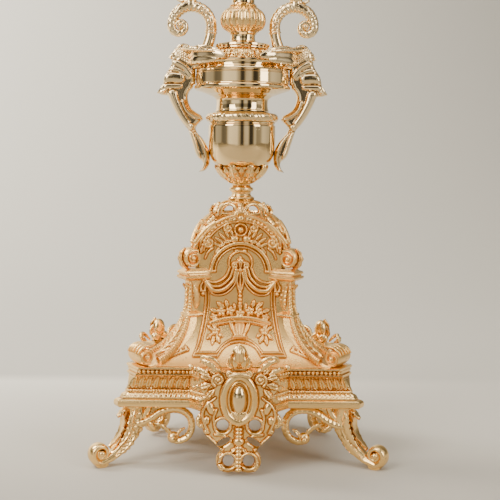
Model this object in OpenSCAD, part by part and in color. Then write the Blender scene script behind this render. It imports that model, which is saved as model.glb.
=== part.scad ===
// Five-light altar candelabrum in polished brass: a three-sided pedestal on
// scroll feet, a cup-and-drum stem with a winged bracket on either side, and
// curled branches that carry candle sockets with lift-out nozzles.
// Millimetres. +Z is up, the origin is on the standing plane under the stem,
// and the panel that faces -Y is the front.

/* [Pedestal] */
// Distance from the stem's axis to the upright part of each panel
panel_reach = 25; // [24:0.5:26]
// Thickness of the cast panels
panel_wall = 3.5; // [3:0.5:4]
// Radius of the arch over each panel
arch_radius = 39.5; // [38:0.5:40]
// Width across each corner strap, at its pilaster
strap_w = 7; // [6:0.5:8]
// Radius of the volute at the foot of each corner strap
strap_volute_r = 8.7; // [8:0.1:9]

/* [Plinth and feet] */
// Distance from the axis to the straight edge of the plinth's lip
lip_reach = 64.5; // [63:0.5:66]
// Distance from the axis to the cut corner of the plinth's lip
lip_corner = 121.5; // [118:0.5:124]
// Distance from the axis to each foot's scroll
foot_reach = 136; // [132:1:140]
// Radius of each foot's scroll
foot_scroll_r = 12.3; // [11.5:0.1:13]
// Thickness of the foot castings
foot_t = 14; // [12:1:16]
// Thickness of the pierced apron plates
apron_t = 5; // [4:0.5:6]

/* [Stem] */
// Radius of the polished drum
drum_r = 41.4; // [40.5:0.1:42]
// Greatest radius of the polished cup
cup_r = 29.7; // [29:0.1:30]
// Radius of the gadrooned knop
knop_r = 19.8; // [19:0.1:20.5]
// Radius of the threaded rod that ties the stem together
rod_r = 3; // [2.5:0.1:3.2]

/* [Branches] */
// Radius of the branch tubes
branch_r = 4.6; // [4.2:0.1:4.8]
// Height of the outer lights' drip pans
outer_pan_z = 490; // [486:1:500]
// Height of the inner lights' drip pans
inner_pan_z = 545; // [540:1:550]
// Height of the central light's drip pan
centre_pan_z = 590; // [586:1:600]

/* [Lights] */
// Radius of the candle bore, for a 22 mm household candle
candle_bore_r = 11.2; // [11.1:0.05:11.4]
// Depth of the candle bore
candle_bore_l = 27; // [26:0.5:27.5]
// Radial clearance of a nozzle in its socket
nozzle_fit = 0.05; // [0.02:0.01:0.1]
// Radius of the drip pans
pan_r = 31; // [28:0.5:32]

/* [Hidden] */
$fn = 64;
// Bore round the tie rod, in every piece that it passes through
rod_bore = rod_r + 0.3;
// Corners of the pedestal, and the faces between them
CORNERS = [-150, -30, 90];
FACES = [-90, 30, 150];
// Levels of the pedestal
plinth_z0 = 50;
plinth_z1 = 85;
flare_z = 140;
spring_z = 174.5;
strap_top_z = 186;
roof_z0 = 180;
roof_z1 = 209;
arch_top = spring_z + arch_radius;
// Centre and radius of the panels' concave flare
flare_r = 62.3;
flare_x = panel_reach + flare_r;
panel_foot = 58.1;
// Outer face of the corner straps, and the centre of their concave flare
strap_face = 54;
strap_flare_r = 55.6;
strap_volute_x = 98;
strap_volute_z = plinth_z1 + strap_volute_r - 0.6;
// Half widths of a strap at its pilaster and at its foot
strap_hw = strap_w / 2;
strap_foot_hw = strap_hw + 10;
strap_waist_z = 128;
// Plinth layers: low level, high level, reach, corner, breakfront reach
LAYERS = [
    [50, 57, lip_reach, lip_corner, 88],
    [57, 64, lip_reach - 3.5, lip_corner - 5.5, 84.5],
    [64, 77, lip_reach - 8, 105, 80],
    [77, 81, lip_reach - 2.5, 107, 83],
    [81, 85, lip_reach - 0.5, 106, 85]
];
breakfront_hw = 23;
breakfront_root = 42;
apron_back = 88;
egg_z = 64.7;
apron_pin_t = 15;
apron_pin_z = 53.5;
pin_r = 1.5;
foot_screw_x = 100;
screw_r = 2;
// Levels of the stem, from the crown up
crown_z0 = 206;
crown_z1 = 226;
neck_z1 = 240.5;
calyx_z1 = 254.8;
cup_z1 = 294.3;
rim_z1 = 304;
spool_z1 = 318.4;
drum_z1 = 340.4;
step_z1 = 348.7;
collar_z1 = 358;
disc_z1 = 363.4;
throat_z1 = 373.3;
knop_z1 = 395.9;
upper_neck_z1 = 410;
stem_tube_z1 = 488;
hub_z1 = 512;
bracket_screw_z = 333;
bracket_t = 12;
saddle_z = 357;
// Branch geometry in the plane of the stem: x outward, z up
scroll_centre = [45.5, 378.5];
scroll_r = 17.5;
scroll_boss_z = 403;
outer_arc_r = 40;
outer_cup_r = 28;
outer_arc_c = [46.5 + outer_arc_r, 412];
outer_turn = 40;
outer_cup_c = outer_arc_c
    + (outer_arc_r + outer_cup_r) * [cos(outer_turn), sin(outer_turn)];
outer_x = outer_cup_c[0] + outer_cup_r;
inner_arc_r = 16;
inner_cup_r = 24;
inner_arc_c = [22, 484];
inner_turn = 20;
inner_cup_c = inner_arc_c
    + (inner_arc_r + inner_cup_r) * [cos(inner_turn), sin(inner_turn)];
inner_x = inner_cup_c[0] + inner_cup_r;
hub_flat = 14;
// Lights
socket_h = 40;
socket_bore_z = 14;
flange_t = 3;
flange_r = 22;
nozzle_r = 13;
pan_t = 4;

// ---- helpers -------------------------------------------------------------

// A plan point at reach a and distance t along the face at azimuth az
function face_pt(az, a, t) =
    [a * cos(az) - t * sin(az), a * sin(az) + t * cos(az)];

// Three-sided plan with cut corners: reach a, corner reach rc
function tri_plan(a, rc) = [
    for (az = FACES)
        for (side = [-1, 1])
            face_pt(az, a, side * (rc * sin(60) - (2 * a - rc) * tan(30) / 2))
];

// The same plan with a breakfront of reach af in the middle of each side
function plinth_plan(a, rc, af) = [
    for (az = FACES)
        let (tm = rc * sin(60) - (2 * a - rc) * tan(30) / 2)
            each [
                face_pt(az, a, -tm),
                face_pt(az, a, -breakfront_root),
                face_pt(az, af, -breakfront_hw),
                face_pt(az, af, breakfront_hw),
                face_pt(az, a, breakfront_root),
                face_pt(az, a, tm)
            ]
];

// Turns a drawing of [distance outward, height] into a slab of thickness t
module upright(t) {
    rotate([90, 0, 0]) translate([0, 0, -t / 2]) linear_extrude(t) children();
}

// Turns a drawing of [distance along a face, height] into a slab from a0 to a1
module on_face(a0, a1) {
    translate([a0, 0, 0]) rotate([90, 0, 90]) linear_extrude(a1 - a0) children();
}

// A length of round tube bent to an arc in the XZ plane
module arc_tube(centre, bend_r, from, to, r) {
    translate([centre[0], 0, centre[1]])
        rotate([90, 0, 0])
            rotate([0, 0, from])
                rotate_extrude(angle = to - from)
                    translate([bend_r, 0]) circle(r);
}

// A ball on a branch at a point of the XZ plane
module branch_ball(p, r) {
    translate([p[0], 0, p[1]]) sphere(r);
}

// A turned piece of the stem, bored for the tie rod
module turned(points) {
    rotate_extrude() difference() {
        polygon(points);
        translate([0, points[0][1] - 1]) square([rod_bore, 500]);
    }
}

// ---- feet ------------------------------------------------------------------

// Leg in the plane of its corner: down from the plinth and out to the scroll
module leg_outline() {
    polygon([
        [111, plinth_z0], [112.5, 36], [115, 26], [120, 19], [127, 16.5],
        [134, 14], [134, 1], [130, 1], [117, 6], [105, 12],
        [97, 20], [94.5, 30], [96, plinth_z0]
    ]);
    translate([foot_reach, foot_scroll_r]) circle(foot_scroll_r);
}

// Curled bracket between a leg and the underside of the plinth
module side_curl(side) {
    curl_c = [54, 33.5];
    mirror([0, side < 0 ? 1 : 0, 0])
        on_face(52, 60) {
            difference() {
                translate(curl_c) circle(16.5);
                translate(curl_c) circle(11.5);
                translate(curl_c) polygon([[0, 0], [30, 12], [30, -24]]);
            }
            translate([56.5, 22]) circle(5.2);
            polygon([[62, 47.5], [69, 42], [84, 36], [84, 28], [66, 36], [60, 44]]);
        }
}

module foot(corner) {
    color("goldenrod") rotate([0, 0, corner]) difference() {
        union() {
            upright(foot_t) leg_outline();
            rotate([0, 0, 60]) side_curl(-1);
            rotate([0, 0, -60]) side_curl(1);
            translate([foot_reach - 5, -foot_t / 2, 0]) cube([9, foot_t, 3]);
        }
        translate([foot_screw_x, 0, 34]) cylinder(r = screw_r + 0.1, h = 20);
    }
}

module foot_screws() {
    color("darkgoldenrod") for (c = CORNERS) rotate([0, 0, c])
        translate([foot_screw_x, 0, 0]) {
            translate([0, 0, 36]) cylinder(r = screw_r, h = 45);
            translate([0, 0, plinth_z1 - 4.5]) cylinder(r = 4, h = 4);
        }
}

// ---- plinth ------------------------------------------------------------------

module plinth() {
    color("goldenrod") difference() {
        union() for (l = LAYERS)
            translate([0, 0, l[0]]) linear_extrude(l[1] - l[0])
                polygon(plinth_plan(l[2], l[3], l[4]));
        translate([0, 0, plinth_z0 - 1]) linear_extrude(6)
            polygon(tri_plan(47, 86));
        translate([0, 0, plinth_z0]) linear_extrude(50)
            polygon(tri_plan(46, 80));
        translate([0, 0, 57]) linear_extrude(22) polygon(tri_plan(52, 91));
        for (f = FACES) rotate([0, 0, f])
            translate([45, -16, 57]) cube([31, 32, 22]);
        for (c = CORNERS) rotate([0, 0, c]) translate([foot_screw_x, 0, 0]) {
            translate([0, 0, plinth_z0 - 1]) cylinder(r = screw_r + 0.2, h = 40);
            translate([0, 0, plinth_z1 - 4.5]) cylinder(r = 4.2, h = 6);
        }
        for (f = FACES) rotate([0, 0, f]) for (side = [-1, 1])
            translate([78, side * apron_pin_t, apron_pin_z]) rotate([0, 90, 0])
                cylinder(r = pin_r + 0.1, h = 12);
    }
}

module plinth_plate() {
    color("darkgoldenrod") difference() {
        translate([0, 0, 51]) linear_extrude(4) polygon(tri_plan(46.8, 85.6));
        cylinder(r = rod_bore, h = 100);
    }
}

// Cartouche with a pierced pendant below it and a bud above it
module apron_outline() {
    difference() {
        union() {
            translate([0, 66]) circle(24);
            polygon([
                [-31, 54], [-30, 40], [-22, 26], [-13.5, 21], [-16.5, 12],
                [-11, 2.2], [11, 2.2], [16.5, 12], [13.5, 21], [22, 26],
                [30, 40], [31, 54], [34, 78], [24, 88], [-24, 88], [-34, 78]
            ]);
            translate([0, 99]) circle(8);
            polygon([[-8, 84], [-8, 99], [0, 110.5], [8, 99], [8, 84]]);
        }
        for (side = [-1, 1]) {
            translate([side * 13.3, 42.5]) circle(4.9);
            translate([side * 11.5, 28]) circle(3.6);
            translate([side * 7.4, 12.6]) circle(4.6);
        }
    }
}

module apron(face) {
    color("gold") rotate([0, 0, face]) difference() {
        union() {
            on_face(apron_back, apron_back + apron_t) apron_outline();
            intersection() {
                translate([apron_back + 1, 0, egg_z]) sphere(9);
                on_face(apron_back + 1, apron_back + 20)
                    translate([0, egg_z]) circle(9.5);
            }
            translate([apron_back + 4, 0, 98]) sphere(6);
        }
        for (side = [-1, 1])
            translate([apron_back - 1, side * apron_pin_t, apron_pin_z])
                rotate([0, 90, 0]) cylinder(r = pin_r + 0.1, h = 4);
    }
}

module apron_pins() {
    color("darkgoldenrod") for (f = FACES) rotate([0, 0, f])
        for (side = [-1, 1])
            translate([79, side * apron_pin_t, apron_pin_z]) rotate([0, 90, 0])
                cylinder(r = pin_r, h = 11.8);
}

// ---- pedestal ----------------------------------------------------------------

// Section of a panel: upright above, a concave flare below
module panel_section() {
    translate([panel_reach - panel_wall, flare_z])
        square([panel_wall, 80]);
    intersection() {
        translate([0, plinth_z1]) square([panel_foot, flare_z - plinth_z1]);
        difference() {
            translate([flare_x, flare_z]) circle(flare_r + panel_wall, $fn = 128);
            translate([flare_x, flare_z]) circle(flare_r, $fn = 128);
        }
    }
}

// Front outline of a panel: open below, a round arch above
module panel_outline() {
    translate([-110, plinth_z1 - 1]) square([220, spring_z - plinth_z1 + 1]);
    translate([0, spring_z]) circle(arch_radius, $fn = 96);
}

// The space between the sides of a corner strap, from a low level up
module strap_block(low) {
    low_hw = strap_hw + (strap_foot_hw - strap_hw)
        * (strap_waist_z - low) / (strap_waist_z - plinth_z1);
    on_face(10, 130) polygon([
        [-low_hw, low], [-strap_hw, strap_waist_z],
        [-strap_hw, strap_top_z], [strap_hw, strap_top_z],
        [strap_hw, strap_waist_z], [low_hw, low]
    ]);
}

module panel(face) {
    wedge = 120;
    color("gold") rotate([0, 0, face]) difference() {
        intersection() {
            union() {
                upright(240) panel_section();
                on_face(panel_reach - 1, panel_reach + 3) difference() {
                    translate([0, spring_z]) circle(arch_radius, $fn = 96);
                    translate([0, spring_z]) circle(arch_radius - 7, $fn = 96);
                    translate([-60, spring_z - 60]) square([120, 60]);
                }
            }
            on_face(0, 100) panel_outline();
            linear_extrude(300)
                polygon([[0, 0], [wedge, -wedge * tan(60)], [wedge, wedge * tan(60)]]);
        }
        for (turn = [-60, 60]) rotate([0, 0, turn]) {
            strap_block(plinth_z1 - 1);
            top_volute(10.3, 17);
        }
    }
}

// Radial section of a corner strap, from the plinth to the top volute
module strap_section() {
    inner_r = 55.9;
    difference() {
        translate([0, plinth_z1]) square([strap_volute_x, flare_z - plinth_z1]);
        translate([strap_face + strap_flare_r, flare_z])
            circle(strap_flare_r, $fn = 128);
        difference() {
            translate([0, plinth_z1 - 1]) square([80, flare_z - plinth_z1 + 2]);
            translate([30 + inner_r, flare_z]) circle(inner_r, $fn = 128);
        }
    }
    translate([76, plinth_z1]) square([strap_volute_x - 78, 5]);
    translate([strap_volute_x, strap_volute_z]) circle(strap_volute_r);
    translate([30, flare_z]) square([22, spring_z - flare_z + 4]);
}

// Volute on top of a strap, or the room that it needs
module top_volute(r, t) {
    translate([51, 0, spring_z]) rotate([90, 0, 0])
        cylinder(r = r, h = t, center = true);
}

module strap(corner) {
    color("goldenrod") rotate([0, 0, corner]) {
        intersection() {
            upright(60) strap_section();
            strap_block(plinth_z1);
        }
        top_volute(10, 16);
        translate([46, -9.5, 156]) cube([14, 19, 5]);
        translate([45, -9, 161]) cube([13.5, 18, 5]);
        translate([46, -8, 123.5]) cube([10.5, 16, 5]);
    }
}

// Three-sided roof behind the arches
module roof_cap() {
    roof_reach = panel_reach - panel_wall;
    color("goldenrod") difference() {
        intersection() {
            translate([0, 0, roof_z0])
                cylinder(r1 = 46, r2 = 16, h = roof_z1 - roof_z0);
            linear_extrude(300) polygon(tri_plan(roof_reach, 2 * roof_reach - 1));
        }
        for (c = CORNERS) rotate([0, 0, c]) strap_block(plinth_z1);
        cylinder(r = rod_bore, h = 300);
        translate([0, 0, roof_z0 - 1]) cylinder(r = 15, h = 24);
    }
}

// Open crown: a pierced bell on a central sleeve
module crown() {
    color("gold") difference() {
        rotate_extrude() {
            difference() {
                translate([0, crown_z0]) square([26, crown_z1 - crown_z0]);
                translate([30, crown_z1 + 4]) circle(18);
                translate([0, crown_z0 - 1]) square([23, 2]);
                difference() {
                    translate([0, crown_z0 - 1]) square([23.5, 16]);
                    translate([29, crown_z1 + 3]) circle(21);
                }
            }
            translate([0, roof_z1]) square([7, crown_z1 - roof_z1]);
        }
        cylinder(r = rod_bore, h = 300);
        for (k = [0:5]) rotate([0, 0, 60 * k]) translate([12, 0, 218])
            rotate([0, 90, 0]) cylinder(r = 3, h = 20);
        for (f = FACES) rotate([0, 0, f])
            on_face(panel_reach - panel_wall, 40)
                translate([-25, crown_z0 - 1]) square([50, arch_top - crown_z0 + 1]);
    }
}

// ---- stem ----------------------------------------------------------------------

module tie_rod() {
    color("silver") translate([0, 0, 42]) cylinder(r = rod_r, h = centre_pan_z - 41);
}

module rod_washer() {
    color("silver") difference() {
        translate([0, 0, 49.4]) cylinder(r = 9, h = 1.6);
        cylinder(r = rod_bore, h = 60);
    }
}

module rod_nut() {
    color("silver") difference() {
        translate([0, 0, 44.4]) cylinder(r = 6.4, h = 5, $fn = 6);
        cylinder(r = rod_bore, h = 60);
    }
}

module neck_baluster() {
    color("gold") turned([
        [0, crown_z1], [11, crown_z1], [11.5, 228], [8.5, 231], [10.5, 234],
        [10.5, 236], [8, 238], [9, neck_z1], [0, neck_z1]
    ]);
}

module leaf_calyx() {
    color("gold") turned([
        [0, neck_z1], [9, neck_z1], [13, 243.5], [18, 248], [22.5, calyx_z1],
        [0, calyx_z1]
    ]);
}

// Half section of the cup: a tall round side over a small flat foot
module cup_half(r, z0) {
    intersection() {
        translate([0, z0]) square([r, cup_z1 - z0]);
        union() {
            translate([r - 40, 283]) circle(40, $fn = 128);
            translate([0, 283]) square([r, 20]);
        }
    }
}

module cup() {
    wall = 2.5;
    color("gold") rotate_extrude() difference() {
        cup_half(cup_r, calyx_z1);
        difference() {
            cup_half(cup_r - wall, calyx_z1 + 3);
            square([8, 300]);
        }
        square([rod_bore, 400]);
    }
}

module cup_rim() {
    color("gold") rotate_extrude() difference() {
        union() {
            translate([0, cup_z1]) square([28.5, rim_z1 - cup_z1]);
            translate([28, cup_z1 + 4.2]) circle(4.2);
        }
        square([rod_bore, 400]);
    }
}

module spool() {
    color("gold") turned([
        [0, rim_z1], [22.8, rim_z1], [22.8, rim_z1 + 1.5], [21.8, 308],
        [21.6, 312], [22, 316], [23.4, spool_z1], [0, spool_z1]
    ]);
}

// Hollow drum with a lip round its foot, drilled for the bracket screws
module drum() {
    color("gold") difference() {
        turned([
            [0, spool_z1], [24, spool_z1], [42.4, 323], [42.8, 324.8],
            [42.4, 326.6], [drum_r, 326.8], [drum_r, drum_z1], [0, drum_z1]
        ]);
        translate([0, 0, 326.5]) difference() {
            cylinder(r = drum_r - 3.4, h = 20);
            cylinder(r = 9, h = 20);
        }
        for (side = [0, 180]) rotate([0, 0, side])
            translate([30, 0, bracket_screw_z]) rotate([0, 90, 0])
                cylinder(r = 1.9, h = 20);
    }
}

module drum_step() {
    color("gold") turned([
        [0, drum_z1], [34.6, drum_z1], [34.6, 342.4], [33.8, 343.4],
        [33.8, step_z1], [0, step_z1]
    ]);
}

module domed_collar() {
    color("gold") turned([
        [0, step_z1], [26.2, step_z1], [26.6, 351.5], [25.2, 355],
        [22, collar_z1], [0, collar_z1]
    ]);
}

module disc() {
    color("gold") turned([
        [0, collar_z1], [15, collar_z1], [23.6, 360.6], [24.3, 361.8],
        [23.2, disc_z1], [0, disc_z1]
    ]);
}

module throat() {
    color("gold") turned([
        [0, disc_z1], [14, disc_z1], [11.2, 366.2], [10.8, 369.5],
        [12.2, throat_z1], [0, throat_z1]
    ]);
}

module gadrooned_knop() {
    color("gold") rotate_extrude() difference() {
        intersection() {
            translate([0, throat_z1]) square([30, knop_z1 - throat_z1]);
            translate([knop_r - 14.5, (throat_z1 + knop_z1) / 2]) circle(14.5);
        }
        square([rod_bore, 500]);
    }
}

module upper_neck() {
    color("gold") turned([
        [0, knop_z1], [11.7, knop_z1], [10, 399], [10.5, 404],
        [14, upper_neck_z1], [0, upper_neck_z1]
    ]);
}

module stem_tube() {
    color("gold") turned([
        [0, upper_neck_z1], [14, upper_neck_z1], [15, 413], [9, 419],
        [7.5, 430], [8.5, 444], [13, 449], [13, 453], [8.5, 458], [7.5, 468],
        [9, 480], [12, stem_tube_z1], [0, stem_tube_z1]
    ]);
}

// Ball hub with a flat on either side for the inner branches
module branch_hub() {
    color("gold") difference() {
        intersection() {
            translate([0, 0, 500]) sphere(19);
            translate([-hub_flat, -25, stem_tube_z1])
                cube([2 * hub_flat, 50, hub_z1 - stem_tube_z1]);
        }
        cylinder(r = rod_bore, h = 600);
    }
}

module top_stem() {
    color("gold") turned([
        [0, hub_z1], [12, hub_z1], [9, 518], [7.5, 528], [8.5, 542],
        [15, 549], [16, 553], [15, 557], [8.5, 563], [7.5, 572],
        [9, 582], [12, centre_pan_z], [0, centre_pan_z]
    ]);
}

// ---- brackets --------------------------------------------------------------------

// Side view of the right-hand bracket: head above, chest, limb and tail leaf
module bracket_outline() {
    polygon([
        [27.2, 349.2], [27.2, saddle_z], [40, saddle_z], [46, 358.5],
        [52, 360.5], [61, 357.5], [64.5, 351], [61, 346], [66, 342.5],
        [70.8, 335], [70, 328], [76, 319.5], [66.5, 321], [60, 310],
        [52, 297], [46.5, 288], [46.5, 272], [44.5, 257], [41, 247.5],
        [38, 249.5], [34.5, 259], [31, 267], [30.4, 271], [33, 280],
        [37.5, 289], [34.4, 298], [40, 300], [45, 307], [49, 317],
        [46, 323], [43.5, 324], [43.2, 327], [drum_r, 327.5],
        [drum_r - 1, 340.6], [33, 340.6], [33, 349]
    ]);
}

module bracket(side) {
    color("goldenrod") mirror([side < 0 ? 1 : 0, 0, 0]) difference() {
        upright(bracket_t) bracket_outline();
        cylinder(r = drum_r + 0.05, h = drum_z1 + 0.02);
        cylinder(r = 34.65, h = step_z1 + 0.02);
        cylinder(r = 26.7, h = 400);
        translate([30, 0, bracket_screw_z]) rotate([0, 90, 0])
            cylinder(r = 1.9, h = 26);
    }
}

module bracket_screws() {
    color("darkgoldenrod") for (side = [0, 180]) rotate([0, 0, side])
        translate([0, 0, bracket_screw_z]) rotate([0, 90, 0]) {
            translate([0, 0, 36]) cylinder(r = 1.8, h = 19);
            translate([0, 0, 34]) cylinder(r = 3.4, h = 2.2);
        }
}

// C-scroll that stands on a bracket and curls outward
module scroll(side) {
    tube = 4.8;
    base_r = 44.5;
    curl_r = 7;
    curl_c = scroll_centre + [scroll_r - curl_r, 0];
    color("gold") mirror([side < 0 ? 1 : 0, 0, 0]) difference() {
        union() {
            arc_tube(scroll_centre + [base_r - scroll_r, 0], base_r,
                178, 209, tube + 0.3);
            arc_tube(scroll_centre, scroll_r, 1, 179, tube);
            arc_tube(curl_c, curl_r, 181, 359, 3.6);
            branch_ball(scroll_centre - [scroll_r, 0], tube + 0.8);
            branch_ball(scroll_centre + [scroll_r, 0], tube + 0.5);
            branch_ball(curl_c - [curl_r - 2, -2], 4.2);
            translate([46.5, 0, 394])
                cylinder(r = 5, h = scroll_boss_z - 394);
        }
        translate([0, -20, saddle_z - 40]) cube([80, 40, 40]);
    }
}

// ---- branches ------------------------------------------------------------------

module branch_outer(side) {
    c1 = outer_arc_c;
    c2 = outer_cup_c;
    joint_pt = c1 + outer_arc_r * [cos(outer_turn), sin(outer_turn)];
    color("gold") mirror([side < 0 ? 1 : 0, 0, 0]) {
        translate([c1[0] - outer_arc_r, 0, scroll_boss_z])
            cylinder(r = branch_r + 1.4, h = c1[1] - scroll_boss_z);
        branch_ball([c1[0] - outer_arc_r, c1[1]], branch_r + 2);
        arc_tube(c1, outer_arc_r, outer_turn + 1, 179, branch_r);
        branch_ball(joint_pt, branch_r + 2);
        arc_tube(c2, outer_cup_r, 181 + outer_turn, 359, branch_r);
        branch_ball([outer_x, c2[1]], branch_r + 1.4);
        translate([outer_x, 0, c2[1]])
            cylinder(r = branch_r, h = outer_pan_z - c2[1]);
    }
}

module branch_inner(side) {
    c1 = inner_arc_c;
    c2 = inner_cup_c;
    joint_pt = c1 + inner_arc_r * [cos(inner_turn), sin(inner_turn)];
    start = [c1[0], c1[1] + inner_arc_r];
    color("gold") mirror([side < 0 ? 1 : 0, 0, 0]) {
        translate([hub_flat, 0, start[1]]) rotate([0, 90, 0])
            cylinder(r = branch_r + 2, h = start[0] - hub_flat);
        arc_tube(c1, inner_arc_r, inner_turn + 1, 90, branch_r);
        branch_ball(joint_pt, branch_r + 1.6);
        arc_tube(c2, inner_cup_r, 181 + inner_turn, 359, branch_r);
        branch_ball([inner_x, c2[1]], branch_r + 1.4);
        translate([inner_x, 0, c2[1]])
            cylinder(r = branch_r, h = inner_pan_z - c2[1]);
    }
}

// ---- lights --------------------------------------------------------------------

// Shallow drip pan; the central one is bored for the tie rod
module pan(x, z, bored) {
    color("gold") translate([x, 0, z]) difference() {
        rotate_extrude() polygon([
            [0, 0], [10, 0], [16, 1.2], [pan_r - 2, 3], [pan_r, 5],
            [pan_r - 0.6, 6.6], [pan_r - 2.4, 5.4], [16, 3.6], [10, pan_t],
            [0, pan_t]
        ]);
        if (bored) cylinder(r = rod_bore, h = 20, center = true);
    }
}

// Vase-shaped socket with the bore that takes the nozzle
module socket(x, z, bored) {
    color("gold") translate([x, 0, z + pan_t]) difference() {
        rotate_extrude() difference() {
            polygon([
                [0, 0], [8, 0], [9, 2], [6.5, 4.5], [9, 7], [15, 11],
                [17.5, 17], [17.5, 21], [15.4, 27], [15.2, 31],
                [17.5, 34], [17.5, socket_h - pan_t], [0, socket_h - pan_t]
            ]);
            translate([0, socket_bore_z - pan_t])
                square([nozzle_r + nozzle_fit, socket_h]);
        }
        if (bored) cylinder(r = rod_bore, h = 8, center = true);
    }
}

// Lift-out nozzle: a sleeve for the candle under a broad flange
module nozzle(x, z) {
    sleeve_l = candle_bore_l - flange_t + 1.4;
    color("gold") translate([x, 0, z + socket_h]) rotate_extrude() difference() {
        union() {
            translate([0, -sleeve_l]) square([nozzle_r, sleeve_l + flange_t]);
            polygon([
                [0, 0], [18, 0], [flange_r, 1.6], [flange_r + 0.8, 3.4],
                [flange_r - 0.6, 4.4], [18, 2.6], [14.4, flange_t], [0, flange_t]
            ]);
        }
        translate([0, flange_t - candle_bore_l])
            square([candle_bore_r, candle_bore_l + 5]);
    }
}

// ---- assembly ------------------------------------------------------------------

foot(CORNERS[0]);  // foot_left
foot(CORNERS[1]);  // foot_right
foot(CORNERS[2]);  // foot_rear
foot_screws();
plinth();
plinth_plate();
apron(FACES[0]);  // apron_front
apron(FACES[1]);  // apron_right
apron(FACES[2]);  // apron_left
apron_pins();
panel(FACES[0]);  // panel_front
panel(FACES[1]);  // panel_right
panel(FACES[2]);  // panel_left
strap(CORNERS[0]);  // strap_left
strap(CORNERS[1]);  // strap_right
strap(CORNERS[2]);  // strap_rear
roof_cap();
crown();
tie_rod();
rod_washer();
rod_nut();
neck_baluster();
leaf_calyx();
cup();
cup_rim();
spool();
drum();
drum_step();
domed_collar();
disc();
throat();
gadrooned_knop();
upper_neck();
stem_tube();
branch_hub();
top_stem();
bracket(-1);  // bracket_left
bracket(1);  // bracket_right
bracket_screws();
scroll(-1);  // scroll_left
scroll(1);  // scroll_right
branch_outer(-1);  // branch_outer_left
branch_outer(1);  // branch_outer_right
branch_inner(-1);  // branch_inner_left
branch_inner(1);  // branch_inner_right
pan(-outer_x, outer_pan_z, false);  // pan_outer_left
pan(-inner_x, inner_pan_z, false);  // pan_inner_left
pan(0, centre_pan_z, true);  // pan_centre
pan(inner_x, inner_pan_z, false);  // pan_inner_right
pan(outer_x, outer_pan_z, false);  // pan_outer_right
socket(-outer_x, outer_pan_z, false);  // socket_outer_left
socket(-inner_x, inner_pan_z, false);  // socket_inner_left
socket(0, centre_pan_z, true);  // socket_centre
socket(inner_x, inner_pan_z, false);  // socket_inner_right
socket(outer_x, outer_pan_z, false);  // socket_outer_right
nozzle(-outer_x, outer_pan_z);  // nozzle_outer_left
nozzle(-inner_x, inner_pan_z);  // nozzle_inner_left
nozzle(0, centre_pan_z);  // nozzle_centre
nozzle(inner_x, inner_pan_z);  // nozzle_inner_right
nozzle(outer_x, outer_pan_z);  // nozzle_outer_right
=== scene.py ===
"""Looks for the five-light brass candelabrum. Shapes are drawn in millimetres in the part's own
frame: local X points outward from the stem, local Y runs along a face and Z is up."""
import math

import bmesh
import bpy
import numpy as np
from mathutils import Matrix, Vector


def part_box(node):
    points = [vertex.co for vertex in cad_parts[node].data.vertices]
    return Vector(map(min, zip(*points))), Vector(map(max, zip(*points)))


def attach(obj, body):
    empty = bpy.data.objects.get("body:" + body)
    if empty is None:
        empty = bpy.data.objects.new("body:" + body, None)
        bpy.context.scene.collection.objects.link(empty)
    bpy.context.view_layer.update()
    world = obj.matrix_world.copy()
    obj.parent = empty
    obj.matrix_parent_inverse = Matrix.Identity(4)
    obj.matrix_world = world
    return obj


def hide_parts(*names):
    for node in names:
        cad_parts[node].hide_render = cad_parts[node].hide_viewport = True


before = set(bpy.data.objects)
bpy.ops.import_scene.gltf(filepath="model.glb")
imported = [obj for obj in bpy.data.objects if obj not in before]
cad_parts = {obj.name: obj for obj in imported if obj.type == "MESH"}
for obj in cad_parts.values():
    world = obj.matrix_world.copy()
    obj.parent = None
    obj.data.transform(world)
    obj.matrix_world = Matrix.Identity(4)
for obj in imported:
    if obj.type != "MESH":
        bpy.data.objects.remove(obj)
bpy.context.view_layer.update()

MM = 0.001
PI = math.pi
ROOT = "candelabrum"
CORNERS = {"left": -150, "right": -30, "rear": 90}
FACES = {"front": -90, "right": 30, "left": 150}


# ---------------------------------------------------------------- levels taken from the frame
def low(node):
    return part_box(node)[0][2] / MM


def high(node):
    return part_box(node)[1][2] / MM


def smooth(points, count):
    """Points spread evenly along a curve through the given ones (2D or 3D)."""
    p = np.asarray(points, float)
    if len(p) == 2:
        fine = p[0] + (p[1] - p[0]) * np.linspace(0, 1, 50)[:, None]
    else:
        ext = np.vstack([2 * p[0] - p[1], p, 2 * p[-1] - p[-2]])
        u = np.linspace(0, 1, 24, endpoint=False)[:, None]
        runs = []
        for a, b, c, d in zip(ext, ext[1:], ext[2:], ext[3:]):
            bend = (2 * a - 5 * b + 4 * c - d) * u ** 2 + (3 * b - a - 3 * c + d) * u ** 3
            runs.append(0.5 * (2 * b + (c - a) * u + bend))
        fine = np.vstack(runs + [p[-1:]])
    step = np.r_[0, np.cumsum(np.linalg.norm(np.diff(fine, axis=0), axis=1))]
    at = np.linspace(0, step[-1], count)
    return np.stack([np.interp(at, step, fine[:, k]) for k in range(fine.shape[1])], axis=1)


def arc(cx, cy, r, start, end, count=12, ry=None):
    """Points along an arc of a circle or ellipse, angles in degrees."""
    a = np.radians(np.linspace(start, end, count))
    return np.stack([cx + r * np.cos(a), cy + (ry or r) * np.sin(a)], axis=1)


def spiral(cx, cy, r0, r1, start, turns, count=30):
    """A spiral from radius r0 to r1; positive turns run anticlockwise."""
    u = np.linspace(0, 1, count)
    a = math.radians(start) + 2 * PI * turns * u
    r = r0 + (r1 - r0) * u ** 0.8
    return np.stack([cx + r * np.cos(a), cy + r * np.sin(a)], axis=1)


def lift(points, x):
    """Puts a drawing of (along, up) on the plane at distance x outward."""
    return np.insert(np.asarray(points, float), 0, x, axis=1)


def radial(points):
    """Puts a drawing of (outward, up) on the radial plane."""
    return np.insert(np.asarray(points, float), 1, 0, axis=1)


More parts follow.
